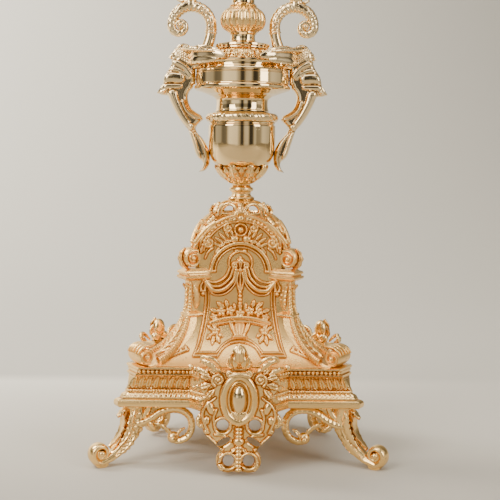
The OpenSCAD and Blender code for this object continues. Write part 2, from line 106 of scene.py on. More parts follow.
def spin(degrees):
    return Matrix.Rotation(math.radians(degrees), 4, "Z")


# ---------------------------------------------------------------- shells
class Shape:
    """Closed shells gathered into one mesh."""

    def __init__(self):
        self.points, self.faces, self.paint, self.count = [], [], [], 0

    def add(self, points, faces, paint=None):
        p = np.asarray(points, float).reshape(-1, 3)
        self.points.append(p)
        self.paint.append(np.zeros(len(p)) if paint is None else paint)
        self.faces += [block + self.count for block in faces]
        self.count += len(p)
        return self

    def join(self, other, matrix=None):
        p = np.vstack(other.points)
        if matrix is not None:
            m = np.array(matrix)
            p = p @ m[:3, :3].T + m[:3, 3]
        return self.add(p, other.faces, np.concatenate(other.paint))

    def two(self, make, points, *size, **look):
        """Joins a leaf, tube or ball at the points, and another on the far side of the centre plane."""
        for k in (-1, 1):
            self.join(make(np.asarray(points, float) * (1, k, 1), *size, **look))
        return self

    def mesh(self, name):
        me = bpy.data.meshes.new(name)
        faces = [tuple(row) for block in self.faces for row in block.tolist()]
        me.from_pydata((np.vstack(self.points) * MM).tolist(), [], faces)
        # per-point painted shade of the grooves, raised by mark_hollows and read by the metal materials
        me.attributes.new("hollow_shade", "FLOAT", "POINT").data.foreach_set(
            "value", np.concatenate(self.paint).astype(np.float32))
        bm = bmesh.new()
        bm.from_mesh(me)
        bmesh.ops.remove_doubles(bm, verts=bm.verts, dist=2e-6)
        bmesh.ops.recalc_face_normals(bm, faces=bm.faces)
        bm.to_mesh(me)
        bm.free()
        return me


def grid(nu, nv, loop_v=False):
    """Quads over nu rows of nv points; loop_v joins the last point of a row to its first."""
    i = np.arange(nu - 1)[:, None] * nv
    j = np.arange(nv if loop_v else nv - 1)[None, :]
    k = (j + 1) % nv
    return np.stack([i + j, i + k, i + nv + k, i + nv + j], axis=-1).reshape(-1, 4)


def closed_sheet(top, under, paint=None):
    """Joins a grid of points to the grid under it by a skirt round the edge."""
    rows, cols = top.shape[:2]
    n = rows * cols
    g = grid(rows, cols)
    rim = np.r_[np.arange(cols), np.arange(1, rows) * cols + cols - 1, np.arange(n - 2, n - cols - 1, -1),
                np.arange(rows - 2, 0, -1) * cols]
    nxt = np.roll(rim, -1)
    skirt = np.stack([rim, nxt, nxt + n, rim + n], axis=1)
    points = np.vstack([top.reshape(-1, 3), under.reshape(-1, 3)])
    return Shape().add(points, [g, g[:, ::-1] + n, skirt], paint)


def fan(ring, centre):
    """Triangles from a ring of indices to a centre index."""
    return np.stack([ring, np.roll(ring, -1), np.full(len(ring), centre)], axis=1)


def along(p, across):
    """Unit tangents of a path, and the across direction made square to them."""
    tangent = np.gradient(p, axis=0)
    tangent /= np.linalg.norm(tangent, axis=1)[:, None] + 1e-12
    side = np.tile(np.asarray(across, float), (len(p), 1))
    side -= tangent * np.sum(side * tangent, axis=1)[:, None]
    side /= np.linalg.norm(side, axis=1)[:, None] + 1e-12
    return tangent, side


def over(value, u):
    """A number, or a function of u, as an array with one entry for each u."""
    return np.array([value(x) if callable(value) else value for x in u], float)


def tube(path, radius, sides=10, across=(0, 1, 0), flat=1.0, ribs=None, count=None):
    """A tube along a path. radius and flat are numbers, or functions of u from 0 to 1. across is the
    direction that the section's second axis keeps, and flat scales that axis."""
    p = smooth(path, count) if count else np.asarray(path, float)
    n = len(p)
    u = np.linspace(0, 1, n)
    tangent, side = along(p, across)
    up = np.cross(tangent, side)
    a = np.linspace(0, 2 * PI, sides, endpoint=False)
    r = over(radius, u)[:, None] * (1 if ribs is None else ribs(u[:, None], a[None, :]))
    ring = np.cos(a)[:, None] * up[:, None] + over(flat, u)[:, None, None] * np.sin(a)[:, None] * side[:,
                                                                                                       None]
    pts = (p[:, None] + ring * r[..., None]).reshape(-1, 3)
    first = np.arange(sides)
    faces = [grid(n, sides, True), fan(first, n * sides)[:, ::-1],
             fan(first + (n - 1) * sides, n * sides + 1)]
    return Shape().add(np.vstack([pts, p[:1], p[-1:]]), faces)


def ball(centre, rx, ry=None, rz=None, rings=10, sides=16):
    """An ellipsoid."""
    a = np.linspace(0, PI, rings)[:, None]
    b = np.linspace(0, 2 * PI, sides, endpoint=False)
    x, y, z = np.sin(a) * np.cos(b) * rx, np.sin(a) * np.sin(b) * (ry or rx), np.cos(a) * (rz or rx)
    pts = np.stack([x, y, np.tile(z, (1, sides))], axis=-1) + np.asarray(centre, float)
    return Shape().add(pts, [grid(rings, sides, True)])


def lathe(profile, sides=128, ripple=None):
    """A turned shape from (radius, height) points. ripple(angle, u) gives an added radius."""
    p = np.asarray(profile, float)
    u = np.linspace(0, 1, len(p))
    a = np.linspace(0, 2 * PI, sides, endpoint=False)
    r = np.tile(p[:, :1], (1, sides))
    if ripple is not None:
        r = np.where(r > 0.5, r + ripple(a[None, :], u[:, None]), r)
    z = np.tile(p[:, 1:], (1, sides))
    pts = np.stack([r * np.cos(a), r * np.sin(a), z], axis=-1)
    return Shape().add(pts, [grid(len(p), sides, True)])


def leaf(spine, width, side=(0, 1, 0), thick=1.5, lobes=4, depth=0.32, cup=0.0, rib=0.5, count=34):
    """A lobed leaf along a 3D spine: ribbed, with a raised midrib and a rounded back."""
    p = smooth(spine, count)
    u = np.linspace(0, 1, count)[:, None]
    v = np.linspace(-1, 1, 17)[None, :]
    tangent, across = along(p, side)
    out = np.cross(across, tangent)
    env = np.clip(np.sin(PI * u ** 0.75), 0, 1) ** 0.55
    w = width * env * (1 - depth * ((u * lobes + 0.15) % 1) ** 1.5)
    wave = np.cos((u * lobes + 0.15 - 0.35 * np.abs(v)) * 2 * PI)
    edge = np.sqrt(np.clip(1 - v ** 2, 0, 1))
    top = thick * (0.25 + 0.75 * edge) + rib * (wave * np.abs(v) + 1.3 * np.exp(-(v / 0.16) ** 2)) * env
    lie = cup * v ** 2 * width
    wide = across[:, None] * (v * w)[..., None]
    up = p[:, None] + wide + out[:, None] * (top + lie)[..., None]
    under = p[:, None] + wide * 0.98 + out[:, None] * (lie - thick * 0.6 * edge)[..., None]
    return closed_sheet(up, under)


class Relief:
    """A height map over points (t, z): each mark raises the points that it covers."""

    def __init__(self, t, z):
        self.t, self.z = np.asarray(t, float), np.asarray(z, float)
        self.h = np.zeros_like(self.t)
        # painted shade in the narrow band round each mark
        self.groove = np.zeros_like(self.t)

    def _near(self, p, margin):
        lo, hi = p.min(axis=0) - margin, p.max(axis=0) + margin
        return (self.t > lo[0]) & (self.t < hi[0]) & (self.z > lo[1]) & (self.z < hi[1])

    def _cut(self, m, beyond):
        """Marks a narrow band just outside a mark for painted shade."""
        self.groove[m] = np.maximum(self.groove[m], np.where(beyond > 0, np.clip(1 - beyond / 1.1, 0, 1), 0))

    def hollows(self):
        """How deep the ground lies next to the marks, from 0 to 1: painted shade in the narrow band round
        them.
        """
        return 0.5 + 0.5 * self.groove * np.clip(1 - self.h / 0.9, 0, 1)

    def line(self, points, width, height, taper=(1.0, 1.0), count=24, crown=2.0, base=0.0):
        """A raised stroke with a round section, or a squarer one where crown is above 2."""
        p = smooth(points, count)
        m = self._near(p, width + 1.2)
        if not m.any():
            return self
        q = np.stack([self.t[m], self.z[m]], axis=1)
        a, b = p[:-1], p[1:]
        ab = b - a
        rel = q[:, None, :] - a[None]
        s = np.clip(np.sum(rel * ab, axis=2) / (np.sum(ab * ab, axis=1) + 1e-12), 0, 1)
        d = np.linalg.norm(rel - s[..., None] * ab[None], axis=2)
        k = d.argmin(axis=1)
        d = d[np.arange(len(q)), k]
        u = (k + s[np.arange(len(q)), k]) / (count - 1)
        w = width * (taper[0] + (taper[1] - taper[0]) * u)
        self._cut(m, d - w)
        f = np.clip(1 - (d / w) ** crown, 0, 1) ** (1 / crown)
        self.h[m] = np.maximum(self.h[m], np.where(f > 0, base + height * f * (0.4 + 0.6 * w / width), 0))
        return self

    def dome(self, t, z, rx, height, ry=None, turn=0.0, base=0.0):
        m = self._near(np.array([[t, z]]), max(rx, ry or rx) + 1.2)
        c, s = math.cos(math.radians(turn)), math.sin(math.radians(turn))
        dt, dz = self.t[m] - t, self.z[m] - z
        d = np.hypot((dt * c + dz * s) / rx, (-dt * s + dz * c) / (ry or rx))
        self._cut(m, (d - 1) * min(rx, ry or rx))
        f = np.sqrt(np.clip(1 - d ** 2, 0, 1))
        self.h[m] = np.maximum(self.h[m], np.where(f > 0, base + height * f, 0))
        return self

    def petal(self, p0, p1, width, height, lobes=0, groove=0.35):
        """A leaf or petal from p0 to p1 with a groove down the middle."""
        p0, p1 = np.asarray(p0, float), np.asarray(p1, float)
        m = self._near(np.array([p0, p1]), width * 1.3 + 1.2)
        d = p1 - p0
        length = np.linalg.norm(d)
        d /= length
        q = np.stack([self.t[m], self.z[m]], axis=1) - p0
        u = q @ d / length
        v = (q[:, 1] * d[0] - q[:, 0] * d[1]) / width
        uu = np.clip(u, 0, 1)
        env = np.sin(PI * uu ** 0.8) ** 0.7
        if lobes:
            env = env * (1 - 0.25 * np.abs(np.sin(PI * lobes * uu)) ** 2)
        past = np.maximum(np.maximum(-u, u - 1), 0) * length
        self._cut(m, np.hypot(np.maximum(np.abs(v) - env, 0) * width, past))
        s = np.where((u > 0) & (u < 1), 1 - (v / (env + 1e-6)) ** 2, -1)
        f = np.sqrt(np.clip(s, 0, 1))
        g = 1 - groove * np.exp(-(v / 0.18) ** 2)
        self.h[m] = np.maximum(self.h[m], height * f * g)
        return self

    def flower(self, t, z, r, height, petals=5, turn=0.0):
        for k in range(petals):
            a = math.radians(turn) + 2 * PI * k / petals
            c, s = math.cos(a), math.sin(a)
            self.dome(t + 0.55 * r * c, z + 0.55 * r * s, 0.5 * r, height * 0.8, 0.42 * r,
                      turn=math.degrees(a))
        return self.dome(t, z, 0.28 * r, height * 1.05)


class Side:
    """One side of a relief's centre line: k is -1 or 1, and marks are given as on the side of 1."""

    def __init__(self, relief, k):
        self.relief, self.k = relief, k

    def line(self, points, *size, **look):
        self.relief.line(np.asarray(points, float) * (self.k, 1), *size, **look)

    def dome(self, t, z, *size, turn=0.0):
        self.relief.dome(self.k * t, z, *size, turn=self.k * turn)

    def petal(self, p0, p1, *size, **look):
        self.relief.petal((self.k * p0[0], p0[1]), (self.k * p1[0], p1[1]), *size, **look)

    def flower(self, t, z, *size, **look):
        self.relief.flower(self.k * t, z, *size, **look)


def sides(relief):
    return Side(relief, -1), Side(relief, 1)


# ---------------------------------------------------------------- sculpted slabs
def _inside(line, t, z):
    hit = np.zeros(t.shape, bool)
    for (t0, z0), (t1, z1) in zip(line, np.roll(line, -1, axis=0)):
        if z0 != z1:
            hit ^= ((z0 > z) != (z1 > z)) & (t < (t1 - t0) * (z - z0) / (z1 - z0) + t0)
    return hit


def sculpt(lines, cell, thick, soft, rim=0.4, marks=None, back="same", radial_plane=False, offset=0.0):
    """A carved slab from closed outlines; the later outlines are openings. Its surface rises over
    a width soft to the height thick. marks(relief) adds ornament. back is 'same' or 'flat'."""
    lines = [np.asarray(line, float) for line in lines]
    lo, hi = lines[0].min(axis=0), lines[0].max(axis=0)
    t = np.arange(lo[0] - cell, hi[0] + 2 * cell, cell)
    z = np.arange(lo[1] - cell, hi[1] + 2 * cell, cell)
    t, z = np.meshgrid(t, z, indexing="ij")
    gap = np.full(t.shape, 1e9)
    near_t, near_z = t.copy(), z.copy()
    held = np.zeros(t.shape, bool)
    for line in lines:
        held ^= _inside(line, t, z)
        for p0, p1 in zip(line, np.roll(line, -1, axis=0)):
            d = p1 - p0
            s = np.clip(((t - p0[0]) * d[0] + (z - p0[1]) * d[1]) / (d @ d + 1e-12), 0, 1)
            ft, fz = p0[0] + s * d[0], p0[1] + s * d[1]
            g = np.hypot(t - ft, z - fz)
            closer = g < gap
            gap[closer], near_t[closer], near_z[closer] = g[closer], ft[closer], fz[closer]
    snap = gap < 0.6 * cell
    t, z = np.where(snap, near_t, t), np.where(snap, near_z, z)
    gap = np.where(snap, 0, gap)
    ok = held | snap
    rows, cols = t.shape
    index = np.arange(rows * cols).reshape(rows, cols)
    quad = np.stack([index[:-1, :-1], index[1:, :-1], index[1:, 1:], index[:-1, 1:]], axis=-1)
    use = ok[:-1, :-1] & ok[1:, :-1] & ok[1:, 1:] & ok[:-1, 1:]
    solid = held[:-1, :-1].astype(int) + held[1:, :-1] + held[1:, 1:] + held[:-1, 1:]
    quad = quad[use & (solid > 0)]
    used, quad = np.unique(quad, return_inverse=True)
    quad = quad.reshape(-1, 4)
    t, z, gap = t.ravel()[used], z.ravel()[used], gap.ravel()[used]
    rise = np.clip(gap / soft, 0, 1)
    h = rim + thick * np.sqrt(1 - (1 - rise) ** 2)
    paint = np.zeros_like(h)
    if marks is not None:
        relief = Relief(t, z)
        marks(relief)
        h = h + relief.h * np.clip(gap / 0.8, 0, 1)
        # the grooves round the ornament get painted shade
        paint = relief.hollows()
    low_h = -h if back == "same" else np.zeros_like(h)
    n = len(t)
    edge = np.sort(np.concatenate([quad[:, [0, 1]], quad[:, [1, 2]], quad[:, [2, 3]], quad[:, [3, 0]]]),
                   axis=1)
    pair, count = np.unique(edge, axis=0, return_counts=True)
    pair = pair[count == 1]
    skirt = np.stack([pair[:, 0], pair[:, 1], pair[:, 1] + n, pair[:, 0] + n], axis=1)
    if radial_plane:
        top, under = np.stack([t, h + offset, z], axis=1), np.stack([t, low_h + offset, z], axis=1)
    else:
        top, under = np.stack([h + offset, t, z], axis=1), np.stack([low_h + offset, t, z], axis=1)
    return Shape().add(np.vstack([top, under]), [quad, quad[:, ::-1] + n, skirt],
                       np.r_[paint, paint if back == "same" else 0 * paint])


# ---------------------------------------------------------------- materials
class Nodes:
    """Short helpers for building the nodes of a material or a world."""

    def __init__(self, owner, coords="Object"):
        owner.use_nodes = True
        self.owner, self.tree = owner, owner.node_tree
        self.coords = self.new("ShaderNodeTexCoord").outputs[coords]

    def new(self, kind, **values):
        node = self.tree.nodes.new(kind)
        for key, value in values.items():
            setattr(node, key, value)
        return node

    def link(self, a, b):
        self.tree.links.new(a, b)

    def feed(self, socket, value):
        """Sets a socket to a number or a colour, or links it to another node's output."""
        if isinstance(value, bpy.types.NodeSocket):
            self.link(value, socket)
        else:
            socket.default_value = (*value, 1.0) if isinstance(value, tuple) else value

    def split(self):
        """The x, y and z of the coordinates."""
        node = self.new("ShaderNodeSeparateXYZ")
        self.link(self.coords, node.inputs[0])
        return node.outputs

    def noise(self, scale, detail=3.0, rough=0.55, stretch=None):
        node = self.new("ShaderNodeTexNoise")
        for key, value in (("Scale", scale), ("Detail", detail), ("Roughness", rough)):
            node.inputs[key].default_value = value
        coords = self.coords
        if stretch:
            mapping = self.new("ShaderNodeMapping")
            mapping.inputs["Scale"].default_value = stretch
            self.link(coords, mapping.inputs[0])
            coords = mapping.outputs[0]
        self.link(coords, node.inputs["Vector"])
        return node.outputs["Fac"]

    def cells(self, scale):
        node = self.new("ShaderNodeTexVoronoi")
        node.inputs["Scale"].default_value = scale
        self.link(self.coords, node.inputs["Vector"])
        return node.outputs["Distance"]

    def range(self, value, a, b, c=0.0, d=1.0):
        node = self.new("ShaderNodeMapRange", clamp=True)
        for socket, entry in zip(node.inputs, (value, a, b, c, d)):
            self.feed(socket, entry)
        return node.outputs[0]

    def math(self, op, a, b):
        node = self.new("ShaderNodeMath", operation=op)
        for socket, entry in zip(node.inputs, (a, b)):
            self.feed(socket, entry)
        return node.outputs[0]

    def mix(self, fac, a, b, blend="MIX"):
        node = self.new("ShaderNodeMix", data_type="RGBA", blend_type=blend)
        for place_in, entry in ((0, fac), (6, a), (7, b)):
            self.feed(node.inputs[place_in], entry)
        return node.outputs[2]

    def bump(self, height, strength, distance, below=None):
        node = self.new("ShaderNodeBump")
        node.inputs["Strength"].default_value = strength
        node.inputs["Distance"].default_value = distance
        self.link(height, node.inputs["Height"])
        if below is not None:
            self.link(below, node.inputs["Normal"])
        return node.outputs[0]

    def set(self, **sockets):
        shader = self.tree.nodes["Principled BSDF"]
        for key, value in sockets.items():
            self.feed(shader.inputs[key.replace("_", " ")], value)


PIT_COLOUR = (0.22, 0.15, 0.08)


def metal(name, bright, deep, rough, worn_rough, grain=0.0, lustre=0.25, empty=0.5, full=0.95):
    """A metal in the bright colour with painted shade in its hollows: where the hollow_shade mask lies
    between the levels empty and full, the colour is painted towards the darker, warmer deep colour, and the
    surface is made duller there."""
    n = Nodes(bpy.data.materials.new(name))
    depth = n.new("ShaderNodeAttribute", attribute_name="hollow_shade").outputs["Fac"]
    clouds = n.noise(38, 4)
    patches = n.noise(9)
    fine = n.noise(900, 3, 0.6)
    scratch = n.noise(60, 5, 0.65, stretch=(1, 1, 14))
    cloudy = n.math("MULTIPLY", n.math("SUBTRACT", clouds, 0.5), 0.35)
    # painted shade mask: the hollow_shade attribute with random clouds, mapped between empty and full
    hollow_shade = n.range(n.math("ADD", depth, cloudy), empty, full)
    warmer = tuple(c * k for c, k in zip(bright, (0.97, 0.90, 0.78)))
    warm = n.mix(n.range(patches, 0.3, 0.7, 0.0, 0.45), bright, warmer)
    chips = n.math("MULTIPLY", n.range(n.noise(230, 5, 0.7), 0.64, 0.70), min(0.65, 4 * grain))
    duller = n.math("MULTIPLY", hollow_shade, worn_rough - rough)
    mottled = n.range(clouds, 0.25, 0.8, rough * 0.8, rough * 1.35)
    normal = n.bump(scratch, 0.06 + 0.1 * grain, 0.0003)
    if grain:
        pits = n.math("MULTIPLY", fine, n.range(n.cells(420), 0.05, 0.5, 0.6, 1.0))
        normal = n.bump(pits, grain, 0.0006, below=normal)
    # base colour: random warm patches, painted shade in the hollows in the deep colour, and dark pits
    n.set(Base_Color=n.mix(chips, n.mix(hollow_shade, warm, deep), PIT_COLOUR), Metallic=1, IOR=1.5, Anisotropic=0,
          Roughness=n.math("ADD", mottled, duller), Normal=n.bump(patches, lustre, 0.002, below=normal))
    return n.owner


# in each finish the deep colour is the painted shade of the hollows
FINISH = {
    "polished": metal("brass_mirror", (0.90, 0.665, 0.34), (0.58, 0.25, 0.05), 0.05, 0.2, 0.0, 0.04),
    "bright": metal("brass_bright_cast", (0.93, 0.71, 0.40), (0.46, 0.20, 0.045), 0.07, 0.24, 0.05, 0.10,
                    0.62, 1.0),
    "cast": metal("brass_cast_satin", (0.98, 0.665, 0.27), (0.48, 0.17, 0.022), 0.19, 0.38, 0.16, 0.12,
                  0.5, 0.80),
    "relief": metal("brass_chased_relief", (1.0, 0.635, 0.225), (0.50, 0.175, 0.022), 0.27, 0.44, 0.34, 0.10,
                    0.5, 0.78),
    "steel": metal("steel_worn", (0.55, 0.54, 0.52), (0.16, 0.13, 0.11), 0.28, 0.5, 0.1, 0.05),
}


# ---------------------------------------------------------------- pieces
def mark_hollows(me, scale=1.2, rounds=3):
    """Stores on each point, as painted shade for the metal, how far the surface curves inward there: 0.5 is
    flat, 1 is deep in a groove.
    """
    n = len(me.vertices)
    co = np.empty(n * 3)
    me.vertices.foreach_get("co", co)
    co = co.reshape(-1, 3) / MM
    no = np.array([v.normal[:] for v in me.vertices])
    e = np.empty(len(me.edges) * 2, int)
    me.edges.foreach_get("vertices", e)
    a, b = e.reshape(-1, 2).T
    d = co[b] - co[a]
    sq = np.sum(d * d, axis=1) + 1e-6
    count = np.bincount(a, minlength=n) + np.bincount(b, minlength=n) + 1e-9
    bend = (np.bincount(a, np.sum(d * no[a], axis=1) / sq, n)
            + np.bincount(b, -np.sum(d * no[b], axis=1) / sq, n)) / count
    bend = np.clip(bend, -2, 2)
    for _ in range(rounds):
        bend = 0.5 * bend + 0.5 * (np.bincount(a, bend[b], n) + np.bincount(b, bend[a], n)) / count
    painted = np.empty(n, np.float32)
    me.attributes["hollow_shade"].data.foreach_get("value", painted)
    value = np.maximum(0.5 + 0.5 * np.tanh(bend * scale), painted)
    me.attributes["hollow_shade"].data.foreach_set("value", value.astype(np.float32))


def make_mesh(name, shape, finish, sharp):
    me = shape.mesh(name)
    me.shade_smooth()
    if sharp:
        me.set_sharp_from_angle(angle=math.radians(sharp))
    mark_hollows(me)
    me.materials.append(FINISH[finish])
    return me


def place(name, me, nodes=(), body=ROOT, turn=0.0, at=(0, 0, 0)):
    obj = bpy.data.objects.new(name, me)
    bpy.context.scene.collection.objects.link(obj)
    obj.matrix_world = Matrix.Translation(Vector(at) * MM) @ spin(turn)
    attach(obj, body)
    if nodes:
        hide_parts(*nodes)


def piece(name, shape, finish, nodes, sharp=50):
    place(name, make_mesh(name, shape, finish, sharp), nodes)


def spread(name, shape, finish, turns, node=None, sharp=50):
    """The same casting set at each of the given azimuths."""
    me = make_mesh(name, shape, finish, sharp)
    for key, turn in turns.items():
        place(f"{name}_{key}", me, [f"{node}_{key}"] if node else (), turn=turn)


def pair(name, shape, finish, node=None, sharp=50):
    """A left and a right casting: each is the mirror of the other."""
    me = make_mesh(name + "_right", shape, finish, sharp)
    twin = me.copy()
    twin.name = name + "_left"
    twin.transform(Matrix.Diagonal((-1, 1, 1, 1)))
    twin.flip_normals()
    for key, mesh in (("right", me), ("left", twin)):
        place(f"{name}_{key}", mesh, [f"{node}_{key}"] if node else ())


# ---------------------------------------------------------------- the three panels
PLINTH_TOP = high("plinth")
FLARE_Z, UPRIGHT, FLARE_R = 140.0, 25.0, 62.3
SPRING, ARCH_R = 174.5, 39.5
EDGE_EASE = 0.8  # ornament fades out over this width at a casting's edge


def panel_reach(z):
    return np.where(z > FLARE_Z, UPRIGHT,
                    UPRIGHT + FLARE_R - np.sqrt(FLARE_R ** 2 - np.clip(FLARE_Z - z, 0, 60) ** 2))


def strap_half(z):
    return 3.5 + 10 * np.clip((128 - z) / 43, 0, 1)


def raised(x, z, t, h):
    """Points of a face that lies x outward at the height z, lifted by h along its normal."""
    slope = np.gradient(x, z)
    norm = np.sqrt(1 + slope ** 2)
    return np.stack([x[:, None] + h / norm[:, None], t, z[:, None] - h * (slope / norm)[:, None]], axis=-1)


def panel_marks(r):
    # arch moulding: a broad outer roll, an egg band and an inner fillet
    r.line(arc(0, SPRING, 38.2, 10, 170, 40), 1.9, 4, count=60)
    r.line(arc(0, SPRING, 35.2, 10, 170, 40), 1.6, 2.3, count=60)
    r.line(arc(0, SPRING, 33, 12, 168, 40), 0.8, 2.9, count=60)
    for a in range(16, 166, 6):
        c, s = math.cos(math.radians(a)), math.sin(math.radians(a))
        r.dome(35.3 * c, SPRING + 35.3 * s, 1.5, 1.5, 1.1, turn=a, base=1.9)
    # tympanum: boss, volutes, shell flutes and a crest of leaves over the inner arch
    r.dome(0, 200.2, 2.9, 3.8)
    r.line(arc(0, 200.2, 5.2, 0, 360, 24), 1, 2.2)
    for side in sides(r):
        side.line(spiral(11.2, 201.4, 4.2, 0.8, 90, -1.6), 1.35, 3, (1, 0.8))
        side.dome(11.2, 201.4, 1.5, 3.6)
        side.line(spiral(27.6, 188.6, 5.4, 0.9, 90, -1.7), 1.6, 3.2, (1, 0.8))
        side.dome(27.6, 188.6, 1.7, 3.8)
        side.line([(27.8, 194), (23.5, 198.4), (21.4, 201.4)], 1, 2, (1, 0.5))
        side.line([(24.6, 183.8), (28.5, 180.4), (31, 174.8)], 1.2, 2, (1, 0.6))
        for i in range(5):
            a = math.radians(70 - 11 * i)
            side.petal((17.5 * math.cos(a) * 1.1, 178 + 17.5 * math.sin(a)),
                       (26.5 * math.cos(a) * 1.08, 178 + 25.5 * math.sin(a)), 1.35, 1.8)
        side.dome(5.4, 192, 3.8, 3.2, 3, turn=-25)
        side.petal((2.6, 190.6), (8.8, 193.6), 2.4, 3.4, lobes=3)
        side.petal((8.2, 190.4), (14.8, 189), 2.3, 3, lobes=3)
        side.petal((13.8, 188.2), (19.4, 184.6), 2, 2.6, lobes=3)
        side.petal((18.4, 184.2), (22.6, 179), 1.6, 2.2, lobes=3)
    # framed field: a flat-banded arch with shoulders, drawn on below by a thin line
    for side in sides(r):
        side.line(arc(0, 162.6, 25.6, 90, 2, 24), 1.5, 2.3, count=40, crown=3)
        side.line(arc(0, 162.6, 22.2, 90, 2, 24), 0.7, 1.5, count=40)
        side.line([(22.2, 163.4), (33.6, 163.4)], 1, 2.1, count=10, crown=3)
        side.line([(33.6, 163.4), (33.8, 158)], 1, 1.8, count=8)
        for off, w, h in ((0, 0.75, 1.5), (2.6, 0.55, 1)):
            side.line([(30.2 - off, 145), (30.4 - off, 134), (32.6 - off, 117), (36.6 - off, 100),
                       (39.6 - off, 92 + off)], w, h, count=50)
            side.line([(39.6 - off, 92 + off), (19 + 0.4 * off, 92 + off)], w, h, count=12)
            side.line([(19 + 0.4 * off, 92 + off), (14.5, 97.8 + off), (8, 101.6 + off), (0, 103 + off)], w,
                      h, count=24)
        # low foliage outside the frame, down the flare
        side.line([(45, 96.5), (54, 93.5), (64, 90.2)], 1.1, 1.4, (1, 0.6), count=24)
        for i in range(5):
            side.petal((46 + 4.4 * i, 95.6 - 1.1 * i), (47.5 + 4.6 * i, 99.8 - 1.5 * i), 1.6, 1.6)
    # ribbon ring and bow, swags with folds, tails with balls
    for side in sides(r):
        side.line(arc(0, 171, 10.2, 90, -20, 20), 1.1, 2.4, (1, 0.8), count=30)
        side.dome(3.6, 181.6, 2, 2.2, 1.5)
        side.line(spiral(4.8, 168.6, 3, 0.7, 120, -1.5), 1.2, 3.2, (1, 0.8))
        side.line([(3.6, 165), (6.4, 155.2), (14.8, 147.4), (23.6, 146.6), (30, 153.4)], 2.3, 3.2,
                  (0.8, 0.9), count=40)
        side.line([(6.4, 166), (9.4, 157.6), (16.4, 151.2), (24, 150.4), (30.4, 154.6)], 1.5, 2.6,
                  (0.9, 0.7), count=40)
        side.line([(9.2, 167), (12.6, 159.2), (18.6, 154.6), (25, 153.6), (30.6, 155.8)], 1.2, 2.2,
                  (0.9, 0.6), count=40)
        side.line([(2.6, 163), (5.2, 151.6), (13.6, 143.6), (23.4, 143.2), (29.6, 150.6)], 1.1, 2.4,
                  (0.7, 0.7), count=40)
        side.dome(31.6, 156.4, 2.4, 3.2)
        side.line([(31.4, 154.6), (30.6, 150), (31, 146.4)], 1.2, 2.6, (0.6, 1.1), count=14)
        side.line([(32.6, 154.6), (34.6, 150), (34.4, 146.4)], 1.2, 2.6, (0.6, 1.1), count=14)
        side.line([(30.4, 146), (34.8, 146)], 1, 2.8, count=6)
        side.dome(32.6, 143.4, 2, 3)
    r.dome(0, 172.6, 3.4, 3.4, 2.8)
    r.petal((0, 166.5), (0, 177.5), 2.6, 3.6, lobes=2)
    r.dome(0, 164.6, 2.2, 3.6)
    for k in (-1, 0, 1):
        r.line([(1.6 * k, 162.5), (2.9 * k, 155), (1.2 * k, 147.5)], 1.1, 2.6, (0.8, 1), count=20)
    for zc in (145.2, 141.6, 138.2, 135.0):
        r.dome(0, zc, 1.8, 3, 1.9)
    r.petal((0, 134.6), (0, 128.6), 2, 3)
    # basket of flowers on a fluted foot
    for t, z, size, turn in ((0, 126.4, 4.4, 10), (8.6, 128.4, 4.2, 30), (-8.6, 128.4, 4.2, 5),
                             (16.4, 127.6, 4.2, 50), (-16.4, 127.6, 4.2, 20), (22.6, 122.8, 3.6, 0),
                             (-22.6, 122.8, 3.6, 40)):
        r.flower(t, z, size, 3.2, turn=turn)
    for side in sides(r):
        side.petal((14, 131), (20.5, 136.2), 2.5, 2.4, lobes=3)
        side.petal((11, 131.6), (12.6, 138.4), 2.1, 2.2, lobes=3)
        side.petal((4.4, 129.6), (5.4, 135.4), 1.8, 2, lobes=3)
        side.petal((20, 127.6), (26.4, 129.6), 2.1, 2.2, lobes=3)
    r.line([(-25.5, 117.8), (-14, 121.4), (0, 122.6), (14, 121.4), (25.5, 117.8)], 2, 2.8, count=40)
    r.line([(-22, 116.2), (-10, 118.6), (0, 119.2), (10, 118.6), (22, 116.2)], 1.2, 2.2, count=40)
    for k in (-1, -0.5, 0, 0.5, 1):
        r.line([(6.6 * k, 116.4), (5 * k, 111.6), (3.3 * k, 107.8)], 1.15, 2.6, (1.1, 0.8), count=10)
    r.dome(0, 112.4, 6.2, 1.9, 6.4)
    for side in sides(r):
        side.line([(8.4, 117.2), (6.6, 112.6), (4.4, 109), (4.2, 107.4)], 0.9, 2.6, count=16)
    r.line([(-5.4, 106.2), (5.4, 106.2)], 1.3, 2.8, count=8)
    for side in sides(r):
        side.line([(24.5, 118), (23.4, 115), (22, 112)], 0.8, 1.6, count=10)
        side.flower(21.6, 111.4, 4.2, 3, turn=18)
        for a, b, w in (((20.6, 107.6), (17.2, 101.6), 2.2), ((22.6, 107.2), (24, 100.2), 2.2),
                        ((24.6, 108.6), (28.8, 104.6), 2), ((18.4, 108.8), (14.6, 106.4), 1.8),
                        ((24.6, 113), (28.8, 115.4), 1.9)):
            side.petal(a, b, w, 2.2, lobes=2)


